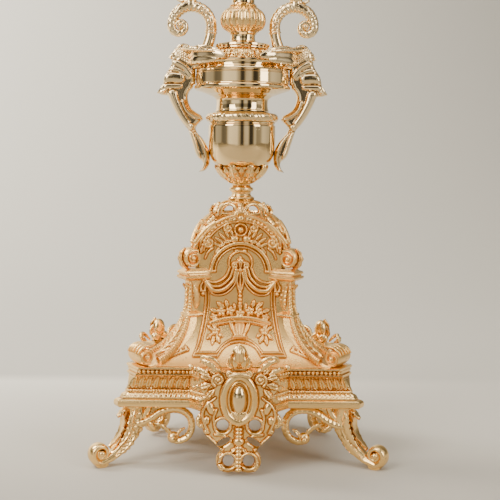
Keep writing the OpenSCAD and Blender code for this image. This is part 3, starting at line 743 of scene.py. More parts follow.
def panel_shape(rows=300, cols=260):
    z = PLINTH_TOP + (SPRING + ARCH_R - PLINTH_TOP) * np.linspace(0, 1, 3000)
    a = panel_reach(z)
    length = np.r_[0, np.cumsum(np.hypot(np.diff(z), np.diff(a)))]
    z = np.interp(np.linspace(0, length[-1], rows), length, z)
    a = panel_reach(z)
    half = math.sqrt(3) * a - 2 * strap_half(z)
    in_arch = np.sqrt(np.clip(ARCH_R ** 2 - (z - SPRING) ** 2, 0, None))
    half = np.where(z > SPRING, np.minimum(half, in_arch), half)
    t = half[:, None] * np.linspace(-1, 1, cols)
    zz = np.tile(z[:, None], (1, cols))
    r = Relief(t, zz)
    panel_marks(r)
    h = r.h * np.clip((half[:, None] - np.abs(t)) / EDGE_EASE, 0, 1) - 0.35 * (r.hollows() - 0.5)
    top = raised(a, z, t, h)
    top[0, :, 2] = PLINTH_TOP
    under = np.stack([np.tile(a[:, None] - 3.0, (1, cols)), t * 0.97, zz], axis=-1)
    # the grooves round the ornament get painted shade on the front; the back has none
    shape = closed_sheet(top, under, np.r_[r.hollows().ravel(), np.zeros(t.size)])
    # the two rolls of the raking cornice
    for drop, width in ((0.0, 1.9), (3.4, 1.2)):
        cornice = [(27.2, 22, 207 - drop), (27.2, 29.5, 201.4 - drop), (27, 35.6, 195 - drop),
                   (26.4, 40.4, 188.4 - drop)]
        shape.two(tube, cornice, lambda u: width * (1.12 - 0.12 * u), 14, count=40, flat=0.8)
    return shape


spread("panel", panel_shape(), "relief", FACES, "panel", sharp=0)


# ---------------------------------------------------------------- plinth
# rows of height, reach, corner reach and breakfront reach
PLINTH_PROFILE = [(50, 60, 117, 84), (50.2, 62.6, 119.6, 86.6), (51.2, 64, 121, 87.6), (53, 64.5, 121.5, 88),
                  (55, 64.4, 121.4, 88), (56.4, 63.6, 120.4, 87.2), (57.2, 62.2, 118.4, 85.6),
                  (57.6, 60.9, 116.2, 84.6), (58.6, 60.9, 116, 84.6), (59.2, 60.4, 115.6, 84.2),
                  (60.6, 59.9, 115, 83.6), (61.6, 58.9, 113.6, 82.4), (62.2, 57.9, 112, 81.2),
                  (62.6, 57.6, 111.6, 80.8), (64.8, 57.6, 111.6, 80.6), (65.2, 56.4, 111.4, 79.8),
                  (67, 55.8, 110.4, 79.2), (71, 56, 108.6, 79.4), (74.6, 57.2, 107, 80.6),
                  (76.4, 58.8, 106.4, 82), (77, 60.4, 106.8, 82.8), (78, 61.6, 107, 83), (79, 61.4, 107, 83),
                  (79.4, 60.4, 105.6, 82.2), (82.4, 60.4, 105.6, 82.2), (82.8, 62.6, 106, 84.4),
                  (83.4, 63.8, 106, 85), (84.6, 63.7, 106, 84.8), (85, 63, 105, 84), (85, 52, 95, 66)]


def bump_row(s, zz, pitch, z0, rx, rz, height):
    """A row of ellipsoid beads along s at the height z0."""
    u = np.mod(s, pitch) - pitch / 2
    return height * np.sqrt(np.clip(1 - (u / rx) ** 2 - ((zz - z0) / rz) ** 2, 0, 1))


def plinth_relief(s, zz):
    """Beads, a leaf-and-dart frieze and a run of eggs, by the distance s along a straight and height."""
    h = bump_row(s, zz, 3.7, 80.9, 1.7, 1.75, 2.2) + bump_row(s, zz, 2.5, 63.7, 1.15, 1.15, 1.2)
    u = np.mod(s, 6.4) / 6.4 - 0.5
    v = np.clip((zz - 65.6) / 10.8, 0, 1)
    wide = 0.44 * np.sin(PI * np.clip(v, 0.02, 0.98) ** 0.75) ** 0.6
    leaf_h = np.sqrt(np.clip(1 - (u / (wide + 1e-6)) ** 2, 0, 1)) * (1 - 0.5 * np.exp(-(u / 0.07) ** 2))
    dart = np.sqrt(np.clip(1 - ((np.abs(u) - 0.5) / 0.09) ** 2, 0, 1)) * np.clip((0.95 - v) * 4, 0, 1)
    h += np.where((zz > 65.6) & (zz < 76.4), 2.1 * np.maximum(leaf_h, 0.7 * dart), 0)
    egg = np.mod(s, 4.4) / 4.4 - 0.5
    return h + np.where((zz > 58.8) & (zz < 62), 0.55 * np.cos(egg * 2 * PI), 0)


def turned_xy(x, t, degrees):
    c, s = math.cos(math.radians(degrees)), math.sin(math.radians(degrees))
    return np.stack([x * c - t * s, x * s + t * c], axis=-1)


def plinth_shape():
    table = np.array(PLINTH_PROFILE)
    steps = np.r_[0, np.cumsum(np.linalg.norm(np.diff(table[:, :2], axis=0), axis=1))]
    at = np.unique(np.r_[np.linspace(0, steps[-2], 96), steps])
    z, reach, corner, front = (np.interp(at, steps, table[:, k]) for k in range(4))
    half_side = corner * math.sin(PI / 3) - (2 * reach - corner) * math.tan(PI / 6) / 2
    # corners of one face's plan, row by row: straight, splay, breakfront, splay, straight
    plan = [(reach, -half_side), (reach, -42 + 0 * z), (front, -23 + 0 * z), (front, 23 + 0 * z),
            (reach, 42 + 0 * z), (reach, half_side)]
    columns = []
    for (x0, t0), (x1, t1), n in zip(plan[:-1], plan[1:], (104, 60, 96, 60, 104)):
        part = np.linspace(0, 1, n, endpoint=False)[None, :]
        x0, t0, x1, t1 = (value[:, None] for value in (x0, t0, x1, t1))
        d = np.hypot(x1 - x0, t1 - t0)
        columns.append(np.stack([x0 + (x1 - x0) * part, t0 + (t1 - t0) * part, (part - 0.5) * d,
                                 (t1 - t0) / d + 0 * part, (x0 - x1) / d + 0 * part, d / 2 + 0 * part]))
    last = np.stack([reach, half_side, 0 * z, 1 + 0 * z, 0 * z, 0 * z])[..., None]
    x, t, s, nx, nt, half = np.concatenate([*columns, last], axis=2)
    zz = np.tile(z[:, None], (1, x.shape[1]))
    h = plinth_relief(s, zz) * np.clip((half - np.abs(s)) / 1.5, 0, 1)
    x, t = x + h * nx, t + h * nt
    shape = Shape()
    rims = []
    for turn in FACES.values():
        face = turned_xy(x, t, turn)
        shape.add(np.dstack([face, zz]), [grid(*x.shape)])
        # the cut corner between this face and the next
        blend = np.linspace(0, 1, 12)[:, None]
        joint = face[:, -1:] * (1 - blend) + turned_xy(x, t, turn + 120)[:, :1] * blend
        shape.add(np.dstack([joint, zz[:, :12]]), [grid(len(z), 12)])
        rims.append(face)
    # the inside and the underside close the casting
    bottom, top = (np.vstack([face[row] for face in rims]) for row in (0, -1))
    levels = ((top, z[-1]), (top * 0.86, 84.6), (top * 0.86, 52.0), (bottom * 0.92, 50.4), (bottom, z[0]))
    wall = np.stack([np.insert(ring, 2, level, axis=1) for ring, level in levels])
    return shape.add(wall, [grid(len(levels), len(top), True)])


piece("plinth_body", plinth_shape(), "cast", ["plinth"], sharp=38)


# ---------------------------------------------------------------- corner straps
STRAP_X, STRAP_FLARE_R = 54.0, 55.6
STRAP_FOOT = 85.2


def strap_face(z):
    drop = np.clip(FLARE_Z - z, 0, STRAP_FLARE_R - 0.1)
    return np.where(z > FLARE_Z, STRAP_X, STRAP_X + STRAP_FLARE_R - np.sqrt(STRAP_FLARE_R ** 2 - drop ** 2))


def strap_sheet(cols=61):
    """The strap's outer face with its relief, and the flat back behind it."""
    z = np.r_[np.linspace(STRAP_FOOT, 100, 90), np.linspace(100.3, 156, 140)]
    x = np.minimum(strap_face(z), 97.0)
    half = strap_half(z)[:, None]
    t, zz = half * np.linspace(-1, 1, cols), np.tile(z[:, None], (1, cols))
    r = Relief(t, zz)
    # husks down the pilaster, then a long leaf that spreads over the foot
    for zc in (150.5, 146, 141.5, 137, 132.5):
        r.dome(0, zc, 1.5, 1.5, 2.2)
        for side in sides(r):
            side.petal((0.4, zc - 1.5), (2.6, zc + 2.2), 0.8, 1.2)
    r.line([(0, 122), (0, 92)], 1.3, 1.7, (0.5, 1.2), count=30)
    for zc in np.arange(95, 120, 4.3):
        for side in sides(r):
            side.petal((0.8, zc - 1.5), (float(strap_half(zc)) - 1.6, zc + 3.4), 1.45, 1.5, lobes=2)
    front = raised(x, z, t, r.h * np.clip((half - np.abs(t)) / EDGE_EASE, 0, 1))
    back = np.stack([np.tile(np.maximum(30.0, x - 22)[:, None], (1, cols)), t, zz], axis=-1)
    front[0, :, 2] = back[0, :, 2] = STRAP_FOOT
    return closed_sheet(front, back)


VOLUTE = (98.0, 93.1)


def scroll_end(x, z, r0, r1, start, turns, thick, half):
    """A wide band rolled into a scroll about an eye, seen open from either side."""
    coil = spiral(x, z, r0, r1, start, turns, 60)
    shape = tube(radial(coil), lambda u: thick * (1 - 0.25 * u), 20, count=130,
                 flat=lambda u: (half + u) / (thick * (1 - 0.25 * u)),
                 ribs=lambda u, a: 1 - 0.1 * np.cos(2 * a) ** 8)
    shape.join(tube([(x, -half + 2.2, z), (x, half - 2.2, z)], r0 - 0.6, 40, across=(1, 0, 0), count=6))
    shape.two(ball, (x, half + 0.6, z), 1.9, 1.3, 1.9)
    shape.two(tube, [(x, 0, z), (x, half + 0.4, z)], 1.5, 20, across=(1, 0, 0), count=4)
    return shape


def strap_shape():
    shape = strap_sheet()
    # broad ribbed bands that run down each side into the volute at the foot
    zs = np.linspace(155, 88.5, 70)
    band = np.stack([np.minimum(strap_face(zs), 97) - 1.4, strap_half(zs) + 0.2, zs], axis=1)
    shape.two(tube, band, lambda u: 1.2 + 2.5 * u, 18, count=240, flat=0.95,
              ribs=lambda u, a: 1 + 0.13 * np.cos(2 * PI * 34 * u ** 1.2 + 3 * np.sin(a + 0.6)))
    shape.two(leaf, [(47, 3.4, 130), (46.4, 4.6, 137), (47.4, 4.6, 145), (50, 3.8, 153.4)], 3.4,
              side=(1, 0, 0), thick=1, lobes=6, count=36)
    shape.two(leaf, [(50, 2.6, 147), (53.6, 3.4, 149.6), (56.4, 3, 152.6)], 1.9, side=(0, 1, 0.3), thick=1.2,
              lobes=3, count=16)
    # scroll at the foot: the strap's end curls out and up, round an eye
    shape.join(scroll_end(*VOLUTE, 7.1, 1.9, -120, 1.55, 1.7, 14))
    # palmette that lies over the volute
    for k in (-2, -1, 0, 1, 2):
        spine = [(85 + abs(k), k * 2.2, 103.5), (91, k * 3.4, 102), (97, k * 4.3, 103.2 - abs(k) * 0.4),
                 (102.5, k * 4.9, 101 - abs(k) * 0.6), (105.6, k * 5.2, 96 - abs(k) * 0.3)]
        shape.join(leaf(spine, 2.7, side=(0, 1, 0), thick=1.4, lobes=3, count=26))
    return shape


def block(levels, per_side=6):
    """A squared moulding from rows of (height, back, front, half width)."""
    step = np.linspace(0, 1, per_side, endpoint=False)[:, None]
    rings = []
    for z, x0, x1, y in levels:
        ring = np.array([(x0, -y, z), (x1, -y, z), (x1, y, z), (x0, y, z)], float)
        rings.append(np.vstack([a + (b - a) * step for a, b in zip(ring, np.roll(ring, -1, axis=0))]))
    ends = [np.tile(ring.mean(axis=0), (4 * per_side, 1)) for ring in (rings[0], rings[-1])]
    rings = [ends[0], *rings, ends[1]]
    return Shape().add(np.stack(rings), [grid(len(rings), 4 * per_side, True)])


def strap_head():
    """Capital on the strap: mouldings and the volute that carries the arch."""
    shape = Shape()
    capital = [(155.2, 54.6, 5.2), (156, 56.4, 7.4), (157, 58.4, 8.8), (158.4, 59.6, 9.4),
               (159.6, 59.4, 9.3), (160.4, 57.6, 8.2), (161.2, 57.6, 8), (161.8, 59, 9), (163, 59.2, 9.1),
               (164, 58.2, 8.6), (165, 55.4, 7.4), (166.2, 54.4, 6.6)]
    shape.join(block([(z, 34, x, y) for z, x, y in capital]))
    shape.join(block([(122.6, 40, 55, 3.8), (123.6, 40, 56.2, 6.6), (125, 40, 56.6, 7.8),
                      (126.4, 40, 56.4, 7.6), (127.2, 40, 55.4, 5.6), (128.6, 40, 55, 3.9)]))
    shape.join(scroll_end(51, SPRING + 0.4, 8.3, 2.2, 128, -1.7, 2.4, 7))
    shape.join(leaf([(53, 0, 166.6), (58.4, 0, 169), (60.8, 0, 174.6), (59.6, 0, 180), (55.6, 0, 184)], 4.2,
                    thick=1.2, count=30))
    # ridge with small leaf crockets that climbs from the volute to the crown
    for x, z, size in ((45.6, 188.4, 4.2), (41, 196, 3.9), (36, 203.6, 3.6)):
        for side in (-1, 0, 1):
            spine = [(x - 2, side * 0.8, z - 2), (x + 0.6, side * 2, z + 0.8), (x + 1.8, side * 3, z + 2.8),
                     (x + 3, side * 3.4, z + 2.6)]
            shape.join(leaf(spine, 0.46 * size, thick=1.1, lobes=2, count=14))
    return shape.join(tube([(47, 0, 180), (43.6, 0, 188), (39, 0, 196), (34, 0, 203.5), (27, 0, 210)],
                           lambda u: 3 - 0.8 * u, 12, count=60,
                           ribs=lambda u, a: 1 + 0.05 * np.cos(2 * PI * 12 * u)))


strap = strap_shape().join(strap_head())
spread("strap", strap, "relief", CORNERS, "strap", sharp=44)


# ---------------------------------------------------------------- cartouches
APRON = 88.0
EGG_Z = 64.7


def apron_lines():
    half = smooth([(0, 91), (6, 91.5), (12, 88.5), (19, 91.5), (26.5, 90), (32, 84.5), (34, 77.5), (31, 71),
                   (27.6, 66), (29.2, 60.5), (32, 55), (32, 47.5), (30.2, 40), (28.4, 35), (23.4, 30.2),
                   (18.6, 25.6), (15.6, 21.4), (18.4, 16.4), (18.6, 9.6), (14.6, 4), (8.6, 2.4), (3.2, 3.4),
                   (0, 2.8)], 150)
    lines = [np.vstack([half, half[-2:0:-1] * (-1, 1)])]
    for k in (-1, 1):
        slot = turned_xy(*arc(0, 0, 6.2, 0, 345, 24, ry=2.7).T, -k * 32)
        lines += [arc(k * 13.3, 42.5, 4.9, 0, 345, 24, ry=4.7), slot + (k * 12.4, 28.6),
                  arc(k * 8.4, 12.8, 4.6, 0, 345, 24, ry=5)]
    return lines


def apron_marks(r):
    for rx, rz, w, h in ((12.8, 19.0, 3.4, 3.4), (8.4, 14.8, 1.2, 2.0)):
        r.line(arc(0, EGG_Z, rx, 0, 360, 60, ry=rz), w, h, count=90)
    r.dome(0, 86.2, 8.4, 3.2, 2.2)
    r.line([(-7.5, 84.6), (0, 85.6), (7.5, 84.6)], 1.8, 3.8)
    for side in sides(r):
        side.line(spiral(7.8, 86.4, 2.9, 0.7, -90, 1.4), 1.2, 3)
        side.line(spiral(17.4, 81.2, 5.4, 0.9, -60, 1.9), 1.7, 3.6, (1, 0.8), count=44)
        side.dome(17.4, 81.2, 1.9, 4.4)
        for a, b, w in (((20, 86.4), (25.5, 92.4), 3), ((23, 82.6), (33.5, 85.4), 3.6),
                        ((23, 77.8), (33.8, 74.2), 3.6), ((20.6, 73.6), (27.6, 65), 3.2),
                        ((11.4, 87), (14.6, 91.8), 2.2)):
            side.petal(a, b, w, 3.4, lobes=3)
        # lobed shields and strapwork below the egg
        side.dome(23.6, 57.4, 3.2, 3, 6, turn=-20)
        side.line([(19.5, 66), (27.5, 59), (30, 51), (27.6, 43), (25, 37)], 1.3, 2.4, (0.8, 1.1))
        side.line([(18.6, 56), (20.8, 49.5), (19.8, 42)], 1.4, 2.6, (1, 0.8))
        side.dome(26.4, 47, 2.6, 2.2, 3.4)
        side.dome(27.2, 37.6, 2.2, 2.4)
        side.relief.line(arc(side.k * 13.3, 42.5, 6.5, 0, 360, 30), 1.4, 2, count=50)
        side.line([(25.5, 33.6), (19, 27.4), (13.6, 22.6)], 1.5, 2.2, count=20)
        side.line([(19.5, 35.2), (12.5, 34.4), (6.5, 30)], 1.3, 2, count=20)
        side.relief.line(arc(side.k * 8.6, 12.8, 6.6, -130, 180, 30), 1.5, 2.2, count=50)
        side.relief.line(spiral(side.k * 14.4, 7, 3, 0.7, 60, -side.k * 1.3), 1.2, 2.2)
        for i in range(5):
            a = math.radians(-40 + 35 * i)
            side.dome(8.6 + 7.6 * math.cos(a), 12.8 + 7.2 * math.sin(a), 0.9, 2.4)
        side.petal((3, 55), (8.4, 48.6), 2.2, 2.4, lobes=2)
        side.petal((2.4, 24), (7.4, 19.6), 1.8, 2.2, lobes=2)
        side.dome(7.6, 48.2, 1.5, 2.6)
    r.dome(0, 51, 5.4, 3, 6.6)
    r.petal((0, 55), (0, 42), 4, 3.6, lobes=3)
    for i, zc in enumerate(np.arange(40, 5, -3.1)):
        r.dome(0, zc, 3.5 - 0.04 * i, 3, 1.9)
    r.dome(0, 29.4, 4.6, 3.2, 3.4)
    r.dome(0, 5.4, 3.4, 2.8, 2.6)


def cartouche():
    shape = sculpt(apron_lines(), 0.42, 2.4, 3, rim=1.2, marks=apron_marks, back="flat", offset=APRON)
    # bud above the cartouche
    shape.two(ball, (92.6, 3.4, 96.4), 3, 3, 5.4, 14, 20)
    shape.two(leaf, [(90, 3, 90), (92.5, 6.2, 94), (93, 7.4, 99.5), (92, 5.2, 104.5)], 2.2, side=(0, 1, 0.2),
              thick=1.3, lobes=2, count=20)
    shape.join(leaf([(90.5, 0, 93), (95.5, 0, 98.5), (96.2, 0, 104), (92.6, 0, 110.4)], 4.4, side=(0, 1, 0),
                    thick=1.8, lobes=3, depth=0.15, count=28))
    shape.join(ball((89.2, 0, 101), 5.6, 6.8, 9, 20, 28))
    shape.two(ball, (88.6, 5.8, 93.4), 4.8, 4.9, 4.6, 16, 24)
    # leaf scrolls that lie back over the shoulders of the plinth
    shape.two(leaf, [(91.5, 25, 76), (87.5, 32, 73.5), (81, 37, 71), (76, 41, 70)], 3.2, side=(0.3, 0, 1),
              thick=1.4, lobes=4, count=26)
    shape.two(leaf, [(91, 24, 68), (87, 30, 62.5), (82, 35, 60.5)], 2.8, side=(0.3, 0, 1), thick=1.4,
              lobes=3, count=20)
    shape.two(tube, [(89, 15, 92), (90.5, 20, 97), (90, 26, 99.4), (87.5, 30.6, 98.6), (86.6, 31.8, 95.6),
                     (87.6, 29.8, 94.2)], lambda u: 1 + 0.8 * math.sin(PI * u), 10, count=40)
    shape.two(ball, (72.6, 40.6, 87.6), 2.7, 2.7, 2.7)
    # lip of the plinth turning down into a scroll
    shape.two(tube, [(86.5, 24, 54.2), (87.4, 29, 51.5), (88, 33, 47.6), (88.6, 33, 43.2), (89, 30.6, 41.6),
                     (89.4, 29.4, 43.8)], lambda u: 3 - 1.2 * u, 12, count=50,
              ribs=lambda u, a: 1 + 0.08 * np.cos(2 * PI * 7 * u))
    for k in (-1, 1):
        shape.join(leaf([(91, k * 18, 88), (92, k * 23, 93), (90, k * 28, 96), (86, k * 31.5, 95.4)], 3.8,
                        side=(0.4, 0.3 * k, 1), thick=2.6, lobes=4, count=26))
        shape.join(leaf([(92, k * 24, 84), (90, k * 30, 87.5), (84.5, k * 35, 88), (79, k * 38, 86.4)], 3.6,
                        side=(0.3, 0.2 * k, 1), thick=2.4, lobes=4, count=26))
    return shape


spread("cartouche", cartouche(), "cast", FACES, "apron", sharp=46)
spread("egg_boss", ball((91.4, 0, EGG_Z), 6.4, 6.4, 12.4, 28, 40), "polished", FACES)


# ---------------------------------------------------------------- feet
def side_curl(k):
    """The scroll on one side of a foot, in the plane of that face; k is the side."""
    body = [(92, 34), (84, 35), (76, 38.6), (67.5, 44.6), (58, 47.6), (48.6, 46.4), (41.8, 40.6), (40.2, 32),
            (43.4, 24.2), (50, 20.2), (55.6, 20.6), (57.8, 23.4)]
    curl = tube(lift([(k * t, z) for t, z in body], 56), lambda u: 3.9 - u, 20, count=130, flat=1.25,
                across=(1, 0, 0),
                ribs=lambda u, a: 1 + 0.1 * np.cos(3 * a) + 0.04 * np.cos(2 * PI * 22 * u + a))
    curl.join(ball((56, k * 56.2, 22.8), 5, 5.4, 5.2))
    curl.join(ball((60.2, k * 56, 22), 2.7))
    for spine, width, side, thick, lobes, count in (
            ([(57, 57, 25), (58, 61, 29.6), (58, 66, 33.4), (57.5, 72.4, 36.2)], 2.6, (0.5, 0, 1), 1.6, 4,
             24),
            ([(58, 53, 24), (58.5, 50, 29), (58, 46, 31.4)], 2, (0.4, 0.4, 1), 1.5, 3, 18),
            ([(58, 78, 37.5), (60, 75, 33), (60, 71, 30.5)], 2.8, (0.3, 0.6, 0.5), 1.5, 3, 20)):
        curl.join(leaf([(x, k * y, z) for x, y, z in spine], width, side, thick, lobes, count=count))
    return curl.join(tube([(55, k * 88, 34), (55, k * 80, 43), (55, k * 76.5, 50.5)], 2.6, 14, count=14,
                          flat=1.1))


def foot_shape():
    path = [(103.5, 51), (103.8, 42), (105, 33.5), (108.2, 25.4), (113.6, 17.6), (120.4, 11.4), (127.6, 6.6)]
    curl = spiral(136, 12.3, 8.5, 2.4, -104, 1.45, 46)
    line = smooth(np.vstack([smooth(path, 40)[:-1], curl[1:]]), 190)
    bend = 0.5

    def deep(u):
        return 8.2 - 4.2 * (u / bend) ** 1.3 if u < bend else 4 - 1.9 * (u - bend) / (1 - bend)

    def fluted(u, a):
        on = np.clip(1.25 - 1.7 * u, 0, 1)
        flutes = 0.085 * np.cos(5 * a + 7 * u) + 0.05 * np.cos(11 * a - 5 * u)
        return 1 + on * flutes - 0.05 * (1 - on) * np.cos(2 * a) ** 6

    shape = tube(radial(line), deep, 44, flat=lambda u: (7.4 - 0.9 * u) / deep(u), ribs=fluted)
    shape.two(tube, [(136.2, 0, 12.3), (136.2, 6.8, 12.3)], 2.6, 24, across=(1, 0, 0), count=4)
    shape.two(ball, (136.2, 6.6, 12.3), 2.8, 1.9, 2.8)
    # acanthus over the outside of the knee, with a tip that turns out, and along both flanks
    shape.join(leaf([(110, 0, 50), (113.8, 0, 43), (114.2, 0, 36), (116.2, 0, 29), (120.6, 0, 22.2),
                     (127.4, 0, 15.4)], 6.2, side=(0, 1, 0), thick=1.8, lobes=6, cup=-0.16, count=52))
    shape.join(leaf([(111, 0, 48), (114.8, 0, 46.4), (117.8, 0, 43), (120.4, 0, 41.6)], 4.8, side=(0, 1, 0),
                    thick=1.8, lobes=4, cup=-0.1, count=30))
    for spine, w in (
            ([(100.5, 6, 49), (101.6, 7.2, 41), (103.6, 7.2, 33), (108, 6.8, 24.6), (114.4, 6.4, 17)], 5.4),
            ([(107.4, 6.2, 47), (109.6, 7.2, 39.5), (110.8, 7.2, 32), (114.8, 6.8, 24.4), (121, 6.2, 17.6)],
             3.8),
            ([(105.6, 6.8, 28), (110.4, 7, 20.6), (116.8, 6.8, 14), (124.4, 6.4, 8.6)], 4)):
        shape.two(leaf, spine, w, side=(0.8, 0, 0.6), thick=1.3, lobes=6, depth=0.22, rib=0.8, count=46)
    # collar under the plinth, and the flat pad on the floor
    shape.join(tube([(103.8, 0, 51.2), (103.8, 0, 47.6)], 9.2, 32, flat=0.86, count=8,
                    ribs=lambda u, a: 0.93 + 0.07 * np.sin(PI * u) + 0.02 * np.cos(12 * a)))
    shape.join(tube([(135.4, -5, 2.1), (135.4, 5, 2.1)], 2.1, 16, across=(1, 0, 0), flat=2.6, count=8))
    for k in (-1, 1):
        shape.join(side_curl(k), matrix=spin(-60 * k))
    return shape


spread("foot", foot_shape(), "cast", CORNERS, "foot", sharp=46)


# ---------------------------------------------------------------- crown and stem
def ring_of(shape, count, start=0.0):
    out = Shape()
    for k in range(count):
        out.join(shape, matrix=spin(start + 360 * k / count))
    return out


def crown_shape():
    z0, z1 = low("crown"), high("crown")
    shape = lathe([(3.6, z0 + 3), (7.2, z0 + 3), (7.4, z1 - 5), (8.6, z1 - 3), (3.6, z1 - 3)], 48)
    shape.join(lathe([(7.4, z1 - 5.6), (11.4, z1 - 5), (13, z1 - 3.8), (13.4, z1 - 2.6), (12.6, z1 - 1.4),
                      (11, z1 - 0.8), (11.4, z1 - 0.1), (3.6, z1)], 72, lambda a, u: 0.25 * np.cos(18 * a)))
    shape.join(lathe([(16, z1 - 13.4), (21.4, z1 - 13.6), (23.2, z1 - 12.6), (23.4, z1 - 11.4),
                      (21.8, z1 - 10.6), (18, z1 - 10.8), (16, z1 - 13.4)], 96,
                     lambda a, u: 0.35 * np.cos(30 * a)))
    rib = tube([(24.2, 0, z1 - 14), (23.4, 0, z1 - 9), (19.2, 0, z1 - 4.6), (12.4, 0, z1 - 2.4)],
               lambda u: 2.5 - 0.6 * u, 16, count=34, flat=1.25, ribs=lambda u, a: 1 + 0.09 * np.cos(4 * a))
    rib.join(leaf([(24.6, 0, z1 - 15), (26.4, 0, z1 - 9.6), (23.4, 0, z1 - 5.2), (22.6, 0, z1 - 3)], 3.2,
                  thick=1.1, lobes=3, count=22))
    shape.join(ring_of(rib, 6, 30))
    arch = tube([(20, y, z) for y, z in ((-8.2, z1 - 13.4), (-7.4, z1 - 8.4), (-4.2, z1 - 4.8),
                                         (0, z1 - 3.6), (4.2, z1 - 4.8), (7.4, z1 - 8.4), (8.2, z1 - 13.4))],
                1.6, 12, count=44, across=(1, 0, 0), flat=1.3)
    shape.join(ring_of(arch, 6, 0))
    # shell keystone on each arch of the pedestal
    key = Shape()
    for a in (-56, -28, 0, 28, 56):
        s, c = math.sin(math.radians(a)), math.cos(math.radians(a))
        key.join(leaf([(28.2, 1.5 * s, z1 - 16), (29.4, 4.6 * s, z1 - 15 + 4.6 * c),
                       (28.2, 7.6 * s, z1 - 14.6 + 7.8 * c), (26.4, 9 * s, z1 - 14 + 8.8 * c)], 1.9,
                      side=(0, c, -s), thick=1.2, lobes=2, count=18))
    key.join(ball((28.6, 0, z1 - 15.6), 2.2, 3, 2.6))
    key.two(tube, lift(spiral(7.4, z1 - 15.2, 3.2, 0.8, 90, 1.5, 24), 27.6), 1.15, 10, count=40)
    for turn in FACES.values():
        shape.join(key, matrix=spin(turn))
    return shape


piece("crown_open", crown_shape(), "cast", ["crown"], sharp=46)


def turned(name, points, finish="polished", node=None, sides=144, ripple=None, extra=None, sharp=32):
    shape = lathe(points, sides, ripple)
    if extra is not None:
        shape.join(extra)
    piece(name, shape, finish, [node or name.removeprefix("stem_")], sharp)


BORE = 3.4


def section(node, up, down=()):
    """A profile with the rod's bore, from radii and heights above the node's foot, then below its top."""
    z0, z1 = low(node), high(node)
    return [(BORE, z0), *((r, z0 + h) for r, h in up), *((r, z1 - h) for r, h in down), (BORE, z1)]


